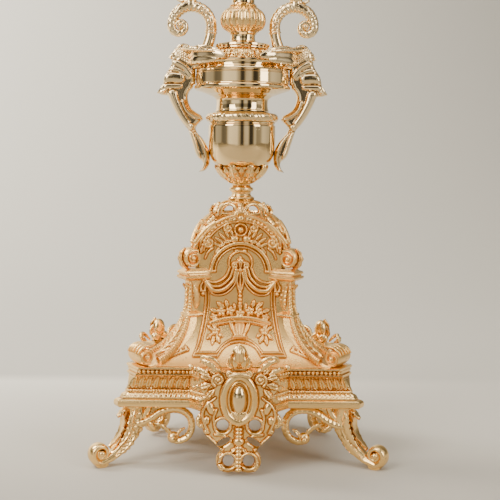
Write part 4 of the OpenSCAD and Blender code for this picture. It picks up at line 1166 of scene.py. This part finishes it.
def stem():
    z = high("crown")
    outline = [(11.4, 0), (12, 0.9), (11.4, 2), (9.2, 3.2), (8.3, 5), (8.8, 6.6), (10.4, 7.6), (11, 9),
               (10.4, 10.4), (8.8, 11.4), (8, 12.6), (8.4, 13.7), (9.2, 14.5)]
    turned("stem_baluster", [(BORE, z), *((r, z + h) for r, h in outline), (BORE, z + 14.5)], "cast",
           "neck_baluster")
    z0, z1 = low("leaf_calyx"), high("leaf_calyx")
    leaves = ring_of(leaf([(8.6, 0, z0 + 0.4), (12.6, 0, z0 + 3.2), (17.8, 0, z0 + 7), (21.6, 0, z0 + 11.6),
                           (23.2, 0, z1 + 0.4), (22.6, 0, z1 + 2.6), (24, 0, z1 + 3)], 5.6,
                          thick=1.2, lobes=5, count=40), 9, 10)
    leaves.join(ring_of(leaf([(9.4, 0, z0 + 1), (15, 0, z0 + 5.6), (20.4, 0, z0 + 10.6), (22.4, 0, z1)], 4.4,
                             thick=1.0, count=28), 9, 30))
    turned("stem_calyx", section("leaf_calyx", [(8.8, 0), (12.2, 3.2), (17.2, 7.6)], [(21, 1.6), (21.4, 0)]),
           "cast", "leaf_calyx", extra=leaves)
    bowl = smooth([(20.6, 0), (23.8, 2.3), (26.8, 6.4), (28.8, 12.2), (29.7, 19.4), (29.9, 28), (29.9, 36)],
                  60)
    turned("stem_cup", section("cup", bowl, [(29.7, 2.6), (28.9, 2.1), (28.9, 1.4), (29.5, 0.9), (29.5, 0)]),
           sides=192)
    roll = arc(28.2, 4.1, 4.1, -80, 120, 22)
    turned("stem_cup_rim", section("cup_rim", [(28.2, 0), *roll], [(25.4, 0.9), (23.4, 0.3)]), sides=192,
           ripple=lambda a, u: np.where((u > 0.12) & (u < 0.9), 0.22 * np.cos(40 * a + 12 * u), 0))
    tall = high("spool") - low("spool")
    waist = smooth([(24.2, 0.2), (23.5, 1.6), (23.1, 4), (22.9, 7.4), (23.2, 10.4), (24.4, tall - 2.8),
                    (26.6, tall - 1), (29.4, tall)], 24)
    turned("stem_spool", section("spool", [(24.2, 0), *waist]))
    turned("stem_drum", section("drum", [(29.4, 0), (33, 1.4), (37.5, 2.9), (41.4, 4.1), (42.5, 4.8),
                                         (42.8, 6.2), (42.6, 7.4), (41.8, 8.2), (41.1, 8.6), (40.9, 9.2),
                                         (41.3, 9.8), (41.3, 18.2), (40.9, 18.6), (40.9, 19.2), (41.4, 19.6),
                                         (41.4, 20.2), (40.9, 20.6)], [(41, 0.5), (40.6, 0)]), sides=224)
    turned("stem_drum_step", section("drum_step", [(34.6, 0), (34.9, 0.8), (34.6, 1.8), (33.9, 2.3),
                                                   (33.5, 4), (33.6, 6), (34.1, 6.8)],
                                     [(34.1, 0.4), (33.6, 0)]), sides=192)
    z0, z1 = low("domed_collar"), high("domed_collar")
    petals = ring_of(leaf([(26.6, 0, z0 + 0.8), (26.8, 0, z0 + 3.4), (25.4, 0, z0 + 6.6),
                           (22.4, 0, z1 - 0.2)], 3.3, thick=0.8, lobes=3, count=20), 24)
    turned("stem_collar", section("domed_collar", [(26.4, 0), (26.8, 0.7), (26.2, 1.4), (25.8, 3.2),
                                                   (24.4, 6.6)], [(22, 0)]), "cast", "domed_collar",
           extra=petals)
    turned("stem_disc", section("disc", [(22.4, 0), (23.2, 1), (23, 1.8), (24.3, 3), (24, 4.6), (22.8, 5.2)],
                                [(18, 0)]))
    turned("stem_throat", section("throat", [(14, 0), (13.4, 0.9), (11.4, 2.4), (10.8, 5), (11, 7.6)],
                                  [(12.2, 0.8), (12.2, 0)]))
    tall = high("gadrooned_knop") - low("gadrooned_knop")
    swell = smooth([(13.2, 0.8), (17, 3.6), (18.9, 8), (19.1, 12.5), (17.4, 17.6), (12.8, tall - 0.9)], 40)
    turned("stem_knop", section("gadrooned_knop", [(12.4, 0), *swell], [(11.8, 0)]), "cast",
           "gadrooned_knop", 240, lambda a, u: 1.7 * (np.abs(np.cos(9 * a)) - 0.4) * np.sin(PI * u) ** 0.5,
           sharp=0)
    turned("stem_upper_neck", section("upper_neck", [(11.7, 0), (12.4, 0.8), (11.6, 1.7), (10.1, 3),
                                                     (9.9, 5.4), (10.5, 8.2), (12.4, 12)], [(14, 0)]))


stem()


def baluster(name, node, foot, knop):
    """A long fluted baluster with leaves round its knop."""
    z0, z1 = low(node), high(node)
    tall = z1 - z0
    shaft = [(10.4, 5.4), (8.4, 9)] + [(r, part * tall) for r, part in (
        (7.5, 0.26), (7.6, 0.36), (8.8, 0.44), (11.6, 0.475), (knop, 0.5), (knop + 0.3, 0.525), (knop, 0.55),
        (11.4, 0.575), (8.4, 0.62), (7.5, 0.74), (7.7, 0.84), (9.2, 0.91))]
    profile = section(node, [(foot, 0), (foot + 0.8, 1.2), (foot + 0.2, 2.6), *shaft],
                      [(11.2, 2.4), (12, 1), (12, 0)])
    leaves = ring_of(leaf([(8.0, 0, z0 + 8), (9.4, 0, z0 + 12), (9.0, 0, z0 + 0.25 * tall + 3),
                           (10.2, 0, z0 + 0.34 * tall)], 2.7, thick=1.0, count=26), 6)
    upper = [(r, 0, z0 + part * tall)
             for r, part in ((knop - 1, 0.55), (10.4, 0.6), (9.2, 0.68), (10.8, 0.75))]
    leaves.join(ring_of(leaf(upper, 2.7, thick=1.0, count=26), 6, 30))
    turned(name, profile, "cast", node, 144, lambda a, u: 0.28 * np.cos(12 * a) * np.sin(PI * u) ** 2, leaves)


baluster("stem_long_baluster", "stem_tube", 14.2, 13.0)
baluster("stem_top_baluster", "top_stem", 12.0, 15.6)
HUB = 0.5 * (low("branch_hub") + high("branch_hub"))
hub_half = [(19.0, 0), (18.6, 1.4), (17.9, 4.4), (16.2, 8.6), (14.4, 10.8), (12.2, 12), (BORE, 12)]
hub = lathe([(r, HUB - h) for r, h in hub_half[::-1]] + [(r, HUB + h) for r, h in hub_half[1:]], 144,
            lambda a, u: 0.35 * np.cos(16 * a) * np.sin(PI * u) ** 0.5)
piece("stem_hub", hub, "cast", ["branch_hub"])


# ---------------------------------------------------------------- winged brackets
def bracket_marks(r):
    # folds of the shoulder, a band across the chest, the broad limb, a knuckle and the tail leaf
    r.line([(66.5, 345), (60, 346.4), (52, 343), (46, 336)], 2.6, 1.6, (0.7, 1), count=24)
    r.line([(68.8, 339.6), (62, 340.6), (54, 338.4), (47.4, 334)], 1.8, 1.2, (0.7, 1), count=24)
    r.line([(68.6, 332.6), (62, 333.2), (55.4, 332.6)], 4.6, 2.8, count=24)
    r.line([(69.4, 325.2), (62, 325.4), (55, 325.6)], 2.6, 2.2, (1, 0.8), count=24)
    r.petal((67, 323.6), (74.4, 320.4), 2.6, 2)
    r.line([(62, 318), (59.6, 311), (54.6, 301.4), (49, 293.6)], 4.8, 2.8, (1, 0.72), count=40)
    r.line([(52.6, 312), (49.2, 304.4), (43, 299.6), (36.6, 297.4)], 2.2, 1.8, (0.8, 0.7), count=30)
    r.dome(44.6, 290.2, 3.6, 2.8, 2.8)
    r.line([(46, 284), (43, 276.6), (40.6, 269), (38.2, 263.6)], 2.8, 2.6, (1, 0.8), count=40)
    r.line([(40.6, 284.4), (35.4, 277), (32.4, 268.4), (31.8, 260), (35.2, 252.4)], 1.9, 1.6, (0.9, 0.7),
           count=40)


def round_stem(r, degrees, z):
    """Points at the radius r and angle round the stem's axis."""
    a = np.radians(degrees)
    return np.stack([r * np.cos(a), r * np.sin(a), z], axis=1)


def bracket_shape():
    back = smooth([(62, 348.6), (64.5, 342.4), (69.2, 335), (70.8, 327.4), (72.6, 322.8), (75.4, 319.6)], 24)
    limb = smooth([(75.4, 319.6), (71, 318), (66.4, 317.2), (63.4, 310.8), (58.4, 301.2), (52.9, 293),
                   (48.2, 287.6), (46.4, 282.4), (44.6, 276.8), (42.9, 271.4), (41.4, 266.6), (39.2, 262.9),
                   (35.9, 260.4), (34.5, 257.4), (35.6, 253.6), (38.2, 250)], 80)
    tail = smooth([(38.2, 250), (32.6, 251.6), (29.2, 256), (28.3, 261.6), (28.8, 267.2), (30.3, 272.2),
                   (33, 277.2), (36.4, 281.6), (39.8, 285.2), (41.2, 288.8), (39.2, 292.4), (34.4, 296.9)],
                  64)
    inner = smooth([(34.4, 296.9), (36.4, 300.4), (40.6, 303), (45, 306.4), (47.6, 311.4), (48.4, 317),
                    (46.4, 322), (43.4, 324.6)], 30)
    seat = [(43.4, 327.2), (41.7, 327.8), (41.7, 340.8), (35.2, 341.2), (35, 349), (36, 356.6)]
    nape = smooth([(40, 357.2), (47, 358.2), (55, 355)], 8)
    outline = np.vstack([back[:-1], limb[:-1], tail[:-1], inner[:-1], seat, nape])
    shape = sculpt([outline], 0.5, 4.6, 4.2, rim=0.8, marks=bracket_marks, radial_plane=True)
    shape.two(leaf, [(62, 3.4, 327), (68, 4.8, 325), (72.8, 3.6, 321.6), (75.2, 1.4, 319.8)], 2.8,
              side=(0.5, 0, 1), thick=1.4, lobes=2, count=24)
    for side in (-1, 1):
        # wings that sweep back round the drum from the shoulders, three tiers of feathers each
        for z0, z1, sweep, width, out in ((357.4, 351.6, 60, 4.2, -0.6), (351.6, 349.8, 65, 4.8, 0.6),
                                          (345.6, 347.2, 54, 4.2, 1.4)):
            u = np.linspace(0, 1, 9)
            spine = round_stem(48.5 - 10 * u ** 0.7 + out, side * (3 + sweep * u),
                               z0 + (z1 - z0) * u + 1.6 * np.sin(PI * u))
            shape.join(leaf(spine[::side], width, side=(0, 0, 1), thick=1.7, lobes=5, depth=0.16, rib=0.9,
                            count=64))
    a = np.arange(0, 60, 6)
    shape.two(tube, round_stem(52 - 0.16 * a, a, 359.4 - 0.1 * a), lambda u: 2.9 - 2 * u, 14, count=60,
              ribs=lambda u, a: 1 + 0.06 * np.cos(2 * PI * 10 * u + a))
    return shape


def head_shape():
    """Calm, plain mask that looks outward, with waved hair drawn back to the wings."""
    shape = Shape()
    shape.join(ball((56.6, 0, 352.4), 6.6, 5.3, 6.8, 22, 30))
    shape.join(ball((58, 0, 347.6), 4.6, 3.9, 4.2, 16, 22))
    shape.join(tube([(61.6, 0, 354.6), (63.5, 0, 352.4), (64.4, 0, 350.6)], lambda u: 0.8 + 0.35 * u, 12,
                    count=14))
    shape.join(ball((63.6, 0, 350.2), 1.2, 1.5, 0.9))
    shape.join(tube([(61.7, -1.9, 347.9), (62.8, 0, 347.7), (61.7, 1.9, 347.9)], 0.55, 10, across=(0, 0, 1),
                    count=12))
    shape.join(tube([(61.4, -1.5, 346.6), (62.4, 0, 346.3), (61.4, 1.5, 346.6)], 0.6, 10, across=(0, 0, 1),
                    count=12))
    shape.join(ball((60.8, 0, 344.7), 1.7, 2, 1.5))
    shape.two(tube, [(62.6, 0.9, 354.4), (62.3, 2.5, 355.1), (60.6, 4.2, 354.2)], 0.6, 10, across=(0, 0, 1),
              count=14)
    shape.two(ball, (61.7, 2.3, 352.9), 1.15, 1.45, 0.95)
    shape.two(ball, (60.4, 3, 349.8), 1.7, 1.8, 1.9)
    for side in (-1, 1):
        for k in range(5):
            y0, z0 = side * (0.8 + 1.05 * k), 358.6 - 0.9 * k
            shape.join(tube([(60.2 - 0.5 * k, y0, z0 - 0.8), (56, side * (1.6 + k), z0 + 0.3 - 0.9 * k),
                             (51.5, side * (3 + 0.8 * k), z0 - 1.2 - 1.3 * k),
                             (47, side * (3.4 + k), z0 - 3 - 1.5 * k)], lambda u: 1.25 - 0.4 * abs(u - 0.4),
                            10, count=30, ribs=lambda u, a: 1 + 0.12 * np.cos(2 * PI * 6 * u + a)))
    shape.join(leaf([(58, 0, 359.4), (54, 0, 361.6), (49.6, 0, 361.4), (46.8, 0, 359.2)], 3.2, thick=1.1,
                    lobes=3, count=22))
    shape.join(lathe([(0.01, 0), (4.6, 0.2), (5.4, 1.4), (5, 3), (0.01, 3.2)], 36,
                     lambda a, u: 0.3 * np.cos(10 * a)), matrix=Matrix.Translation((55.6, 0, 341.6)))
    return shape


pair("winged_bracket", bracket_shape(), "bright", "bracket", sharp=46)
pair("bracket_mask", head_shape(), "bright", sharp=60)


# ---------------------------------------------------------------- C-scrolls
SCROLL = (45.5, 378.5)


def shank(start, end, count):
    """Points along the scroll's lower length, by angle about its centre."""
    return arc(SCROLL[0] + 27, SCROLL[1], 44.5, start, end, count)


def scroll_shape():
    lower = shank(208, 182, 16)
    main = arc(SCROLL[0], SCROLL[1], 17.5, 178, 4, 40)
    a, r = (np.radians(np.linspace(-4, -330, 34)), np.linspace(7, 3.1, 34))
    curl = np.stack([SCROLL[0] + 10.5 + r * np.cos(a), SCROLL[1] + r * np.sin(a)], axis=1)
    line = smooth(np.vstack([lower, main, curl]), 260)

    def rope(u, a):
        on = np.clip((u - 0.27) * 30, 0, 1) * np.clip((1 - u) * 20, 0, 1)
        return 1 + on * 0.065 * np.cos(2 * PI * 26 * u + 2.5 * a)

    shape = tube(radial(line), lambda u: 4.9 if u < 0.58 else 4.9 - 2.7 * (u - 0.58) / 0.42, 28, ribs=rope)
    # plain lower length ends in a double ring
    for deg, r in ((186.5, 5.7), (183.4, 5.3)):
        at = shank(deg, deg, 1)[0]
        step = np.array([-math.sin(math.radians(deg)), math.cos(math.radians(deg))])
        shape.join(tube(radial([at + k * step for k in (-1.3, -0.6, 0, 0.6, 1.3)]),
                        lambda u: 4.6 + (r - 4.6) * math.sin(PI * u) ** 0.5, 28))
    foot = shank(206, 206, 1)[0, 0]
    shape.join(tube([(foot + 0.4, 0, 356.9), (foot, 0, 358.4), (foot - 0.6, 0, 360.2)], lambda u: 6.6 - u,
                    28, count=8))
    eye = (SCROLL[0] + 9.6, SCROLL[1] + 0.6)
    shape.join(ball((eye[0], 0, eye[1]), 3.4, 4.6, 3.4))
    shape.two(ball, (eye[0], 4.2, eye[1]), 1.7, 1.1, 1.7)
    shape.two(leaf, [(29, 3.4, 372), (28.4, 4.6, 380), (31.4, 4.8, 388.4), (37.6, 4.4, 394.6)], 3,
              side=(1, 0, -0.4), thick=1.1, lobes=5, count=34)
    shape.two(leaf, [(41, 3.6, 396.6), (48, 4.4, 397.2), (55.4, 4.4, 393.6), (61, 4, 386.6)], 2.8,
              side=(0.5, 0, 1), thick=1.1, lobes=5, count=34)
    # crest leaf and the boss that takes the outer branch
    shape.join(leaf([(40, 0, 398.6), (46, 0, 401.4), (52.6, 0, 400.4), (58.6, 0, 402.6)], 4, thick=1.4,
                    lobes=4, count=30))
    top = high("scroll_right")
    shape.join(lathe([(0.01, top - 8), (4.9, top - 8), (5.6, top - 6), (5, top - 4.4), (4.9, top - 2.6),
                      (5.9, top - 1.6), (6, top - 0.8), (5.2, top), (0.01, top)], 40),
               matrix=Matrix.Translation((46.5, 0, 0)))
    return shape


pair("c_scroll", scroll_shape(), "bright", "scroll", sharp=46)


# ---------------------------------------------------------------- branches
BRANCH_R = 4.6


def knot(at, along, radius, wide=6.0):
    """A turned knot on a branch: a bead between two rings, square to the branch's direction."""
    profile = [(0.01, -wide), (BRANCH_R, -wide), (BRANCH_R + 1.1, -wide + 0.8),
               (BRANCH_R + 0.3, -wide + 1.8), (radius - 0.6, -wide * 0.4), (radius, 0),
               (radius - 0.6, wide * 0.4), (BRANCH_R + 0.3, wide - 1.8), (BRANCH_R + 1.1, wide - 0.8),
               (BRANCH_R, wide), (0.01, wide)]
    shape = lathe(profile, 40, lambda a, u: 0.16 * np.cos(14 * a) * np.sin(PI * u))
    turn = Vector((along[0], 0, along[1])).to_track_quat("Z", "Y").to_matrix().to_4x4()
    return Shape().join(shape, matrix=Matrix.Translation((at[0], 0, at[1])) @ turn)


def wraps(line, spans, width=4.4):
    """Leaves that lie along both sides of a branch, each over a span of its length."""
    shape = Shape()
    for start, end in spans:
        part = line[int(start * len(line)):max(int(end * len(line)), int(start * len(line)) + 4)]
        tangent = along(part, (0, 0))[0]
        normal = np.stack([-tangent[:, 1], tangent[:, 0]], axis=1)
        u = np.linspace(0, 1, len(part))
        flick = 2.4 * np.clip((u - 0.82) / 0.18, 0, 1) ** 2
        for side in (-1, 1):
            pts = radial(part + side * normal * (BRANCH_R + 0.1 + flick)[:, None])
            shape.join(leaf(pts, width, side=(0, side, 0), thick=1.1, lobes=6, cup=-0.16, count=46))
    return shape


def branch_shape(line, spans, knots):
    fine = smooth(line, 420)
    shape = tube(radial(fine), BRANCH_R, 30, ribs=lambda u, a: 1 + 0.018 * np.cos(10 * a))
    shape.join(wraps(fine, spans))
    for each in knots:
        shape.join(knot(*each))
    return shape


def middle(node):
    (x0, y0, _), (x1, y1, _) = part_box(node)
    return 0.5 * (x0 + x1) / MM, 0.5 * (y0 + y1) / MM


def sprig(points, count, radius, thin, turns):
    """A twisted curl that branches off an arm."""
    return tube(radial(smooth(points, count)), lambda u: radius - thin * u, 16,
                ribs=lambda u, a: 1 + 0.08 * np.cos(2 * PI * turns * u + 2 * a))


def outer_branch():
    x1, top = middle("pan_outer_right")[0], low("pan_outer_right")
    a = math.radians(40)
    c1, c2 = (86.5, 412.0), (x1 - 28, 412 + 68 * math.sin(a))
    line = np.vstack([[(46.5, 402.6)], arc(*c1, 40, 180, 42, 40), arc(*c2, 28, 222, 358, 40), [(x1, top)]])
    knots = [((46.5, 411), (0, 1), 6.6, 7),
             ((c1[0] + 40 * math.cos(a), c1[1] + 40 * math.sin(a)), (math.sin(a), -math.cos(a)), 6.8, 6),
             ((x1, c2[1] + 2), (0, 1), 6.2, 5), ((x1, top - 4.2), (0, 1), 7.0, 4)]
    shape = branch_shape(line, ((0.07, 0.34), (0.34, 0.47), (0.53, 0.78)), knots)
    shape.join(sprig([(58, 440), (52, 452), (57, 463), (67.5, 463.6), (71.6, 455.6), (65.6, 450.4)], 90, 2.9,
                     1.4, 16))
    return shape.join(ball((65.4, 0, 451.4), 2.6))


def inner_branch():
    x1, top = middle("pan_inner_right")[0], low("pan_inner_right")
    a = math.radians(20)
    c1 = (22.0, 484.0)
    c2 = (x1 - 24, c1[1] + 40 * math.sin(a))
    line = np.vstack([[(14.2, 500)], arc(*c1, 16, 90, 22, 14), arc(*c2, 24, 202, 358, 40), [(x1, top)]])
    knots = [((17.4, 500), (1, 0), 7.4, 3.4),
             ((c1[0] + 16 * math.cos(a), c1[1] + 16 * math.sin(a)), (math.sin(a), -math.cos(a)), 6.2, 4.6),
             ((x1, c2[1] + 2), (0, 1), 6.2, 5), ((x1, top - 4.2), (0, 1), 7.0, 4)]
    shape = branch_shape(line, ((0.26, 0.56), (0.56, 0.72)), knots)
    shape.join(sprig([(46, 474), (40, 464), (45, 455), (54, 456), (56, 463), (51, 466.4)], 80, 2.6, 1.2, 14))
    return shape.join(ball((51, 0, 465.0), 2.3))


pair("outer_branch", outer_branch(), "cast", "branch_outer", sharp=46)
pair("inner_branch", inner_branch(), "cast", "branch_inner", sharp=46)


# ---------------------------------------------------------------- lights
LIGHTS = ("outer_left", "inner_left", "centre", "inner_right", "outer_right")


def pan_shape():
    edge = [(27.6, 3), (29.4, 3.9), (30.6, 5), (31, 6), (30.6, 6.7), (29.6, 6.5), (28.2, 5.6)]
    return lathe([(3.4, 0), (9.4, 0), (10.2, 0.4), (12, 0.8), (16, 1.3), (22, 2.2), *edge, (22, 4.6),
                  (16, 3.8), (12, 3.6), (11.2, 4), (10, 4), (3.4, 4)], 192,
                 lambda a, u: np.where((u > 0.36) & (u < 0.72), -0.35 * (1 - np.abs(np.cos(18 * a))), 0))


def socket_shape():
    wall = [(0.01, 0), (7.6, 0), (8.8, 0.6), (8.8, 1.6), (7, 2.8), (6.5, 4.4), (7.4, 5.8), (9.4, 6.6),
            (9.6, 7.4), (12.6, 8.8), (15.4, 11.4), (17, 15), (17.3, 19), (16.6, 23.2), (15.2, 27.2),
            (14.9, 30), (15.6, 32), (17, 33.4), (17.5, 34.6), (17.2, 35.6), (16.2, 36), (13.1, 36),
            (13.1, 12), (0.01, 12)]
    shape = lathe(wall, 144, lambda a, u: np.where((u > 0.3) & (u < 0.72), 0.14 * np.cos(24 * a), 0))
    shape.join(ring_of(leaf([(9.4, 0, 7.6), (14.6, 0, 10.4), (17.2, 0, 16), (17.2, 0, 22), (18, 0, 25.2)], 4,
                            thick=0.9, lobes=5, count=30), 8))
    shape.join(ring_of(ball((15.7, 0, 31.2), 1, 1.2, 1, 6, 8), 32))
    return shape


def nozzle_shape():
    return lathe([(11.2, -21), (11.2, 1.6), (11.8, 2.8), (13.2, 3), (17, 2.7), (20.6, 3.9), (21.8, 4.4),
                  (22.7, 3.9), (22.8, 3), (22.2, 1.9), (20.4, 1), (17, 0.1), (13, 0.05), (13, -24.6),
                  (12.4, -25.4), (0.01, -25.4), (0.01, -24), (10.8, -24), (11.2, -23.6), (11.2, -21)], 160,
                 lambda a, u: np.where((u > 0.3) & (u < 0.56),
                                       0.28 * np.cos(36 * a) * np.sin(PI * (u - 0.3) / 0.26), 0))


# name, shape, finish and height over the pan's foot of the parts of one light
LIGHT_PARTS = (("drip_pan", pan_shape(), "cast", 0, "pan"),
               ("candle_socket", socket_shape(), "cast", 4, "socket"),
               ("candle_nozzle", nozzle_shape(), "polished", 40, "nozzle"))
light_meshes = [make_mesh(name, shape, finish, 34) for name, shape, finish, *_ in LIGHT_PARTS]
for light in LIGHTS:
    seat = middle("pan_" + light)
    for (name, _, finish, rise, node), mesh in zip(LIGHT_PARTS, light_meshes):
        place(f"{name}_{light}", mesh, [f"{node}_{light}"],
              f"nozzle_{light}" if node == "nozzle" else ROOT, at=(*seat, low("pan_" + light) + rise))


# ---------------------------------------------------------------- plain CAD parts that stay in view
for node, finish in (("plinth_plate", "cast"), ("roof_cap", "cast"), ("foot_screws", "steel"),
                     ("apron_pins", "steel"), ("bracket_screws", "steel"), ("tie_rod", "steel"),
                     ("rod_washer", "steel"), ("rod_nut", "steel")):
    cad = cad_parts[node]
    cad.data.materials.clear()
    cad.data.materials.append(FINISH[finish])


# ---------------------------------------------------------------- camera, floor and light
def area_light(name, at, target, size, power, colour, size_y=None):
    lamp = bpy.data.lights.new(name, "AREA")
    lamp.shape = "RECTANGLE"
    lamp.size, lamp.size_y = size, size_y or size
    lamp.energy, lamp.color = power, colour
    obj = bpy.data.objects.new(name, lamp)
    bpy.context.scene.collection.objects.link(obj)
    obj.location = at
    obj.rotation_euler = (Vector(target) - Vector(at)).to_track_quat("-Z", "Y").to_euler()


def paper():
    """Warm grey studio paper with painted light: a floor painted lighter to its far edge and darker on the
    right, and a wall painted lighter on the left and darker low down.
    """
    n = Nodes(bpy.data.materials.new("studio_paper"))
    x, y, z = n.split()
    # painted light on the wall: lighter on the left, darker low down
    wall = n.mix(n.range(x, -2.0, 1.8), (0.96, 0.915, 0.79), (0.30, 0.275, 0.225))
    wall = n.mix(n.range(z, 1.6, -0.4, 0.0, 0.35), wall, (0.52, 0.48, 0.42))
    # painted light on the floor: darker towards the camera and on the right, lighter to its far edge
    painted_floor_light = n.mix(n.range(y, -0.25, 0.27), (0.39, 0.36, 0.30), (0.98, 0.925, 0.80))
    side = n.mix(n.range(x, -0.4, 0.4, 0.0, 0.8), painted_floor_light, (0.42, 0.385, 0.325))
    n.set(Base_Color=n.mix(n.range(y, 0.26, 0.30), side, wall), Roughness=0.95)
    return n.owner


def sweep_floor():
    line = [(-2.2, 0.0), (-1.0, 0.0), (0.4, 0.0), (0.9, 0.0)]
    line += [(0.9 + 2.6 * math.sin(a), 2.6 - 2.6 * math.cos(a)) for a in np.linspace(0.04, PI / 2, 40)]
    line += [(3.5, 6.0)]
    pts = [(x, y, z) for y, z in line for x in (-6, 6)]
    faces = [(2 * k, 2 * k + 1, 2 * k + 3, 2 * k + 2) for k in range(len(line) - 1)]
    me = bpy.data.meshes.new("studio_sweep")
    me.from_pydata(pts, [], faces)
    me.shade_smooth()
    me.materials.append(paper())
    obj = bpy.data.objects.new("studio_sweep", me)
    bpy.context.scene.collection.objects.link(obj)


# what stands round the studio, by bearing: 0 is towards the camera, positive to its right
SURROUND = ((-180, 0.7), (-125, 0.7), (-115, 0.12), (-108, 0.12), (-97, 0.75), (-80, 0.65), (-68, 0.22),
            (-56, 0.26), (-42, 1.65), (-18, 1.5), (-8, 0.65), (-2, 0.08), (3, 0.08), (11, 0.9), (19, 1),
            (29, 0.06), (36, 0.08), (46, 0.85), (54, 0.4), (64, 0.44), (78, 1.1), (104, 0.8), (116, 0.18),
            (136, 0.75), (180, 0.7))
# brightness by height, by the sine of the angle above the horizon
TIERS = ((-1, 0.8), (-0.3, 0.85), (0, 1), (0.13, 1), (0.18, 0.4), (0.32, 0.35), (0.38, 1.25), (0.7, 1.2),
         (1, 1))
PLAIN = (0.62, 0.60, 0.55)


def ramp(n, value, stops, tint=(1.0, 1.0)):
    """A colour ramp of (place, level) stops; tint scales green and blue."""
    node = n.new("ShaderNodeValToRGB")
    n.link(value, node.inputs[0])
    node.color_ramp.interpolation = "EASE"
    marks = node.color_ramp.elements
    while len(marks) < len(stops):
        marks.new(0.5)
    for mark, (spot, level) in zip(marks, stops):
        mark.position = spot
        mark.color = (level, level * tint[0], level * tint[1], 1)
    return node.outputs[0]


def studio():
    """Area lights, the paper sweep, and soft bands of light and dark that the metal mirrors."""
    world = bpy.data.worlds.new("studio")
    n = Nodes(world, "Generated")
    x, y, z = n.split()
    bearing = n.range(n.math("ARCTAN2", x, n.math("MULTIPLY", y, -1.0)), -PI, PI)
    bands = ramp(n, bearing, [((deg + 180) / 360, level) for deg, level in SURROUND], (0.965, 0.90))
    tiers = ramp(n, n.range(z, -1.0, 1.0), [((sine + 1) / 2, level) for sine, level in TIERS])
    # straight to the camera the studio is plain paper
    camera_ray = n.new("ShaderNodeLightPath").outputs["Is Camera Ray"]
    back = n.tree.nodes["Background"]
    n.link(n.mix(camera_ray, n.mix(1.0, bands, tiers, "MULTIPLY"), PLAIN), back.inputs[0])
    back.inputs[1].default_value = 0.78
    bpy.context.scene.world = world
    sweep_floor()
    area_light("key_left", (-1.5, -1.5, 1.5), (0, 0, 0.25), 1.1, 40, (1.0, 0.97, 0.92), 1.5)
    area_light("key_right", (1.7, -1.2, 1.1), (0, 0, 0.25), 0.8, 22, (1.0, 0.96, 0.90), 1.4)
    area_light("top", (0, -0.3, 2.2), (0, 0, 0.2), 1.5, 16, (1.0, 0.98, 0.95))
    area_light("wash_left", (-2.4, 0.9, 2.6), (-0.9, 3.2, 0.9), 1.6, 170, (1.0, 0.975, 0.93))


def camera():
    data = bpy.data.cameras.new("camera")
    data.lens, data.sensor_width = 72.0, 36.0
    data.dof.use_dof = False
    obj = bpy.data.objects.new("camera", data)
    bpy.context.scene.collection.objects.link(obj)
    pitch, yaw, roll = math.radians(4.97), math.radians(0.54), math.radians(0.65)
    obj.matrix_world = (Matrix.Translation((0, -0.9, 0.2585)) @ Matrix.Rotation(-yaw, 4, "Z")
                        @ Matrix.Rotation(PI / 2 - pitch, 4, "X") @ Matrix.Rotation(roll, 4, "Z"))
    bpy.context.scene.camera = obj


studio()
camera()
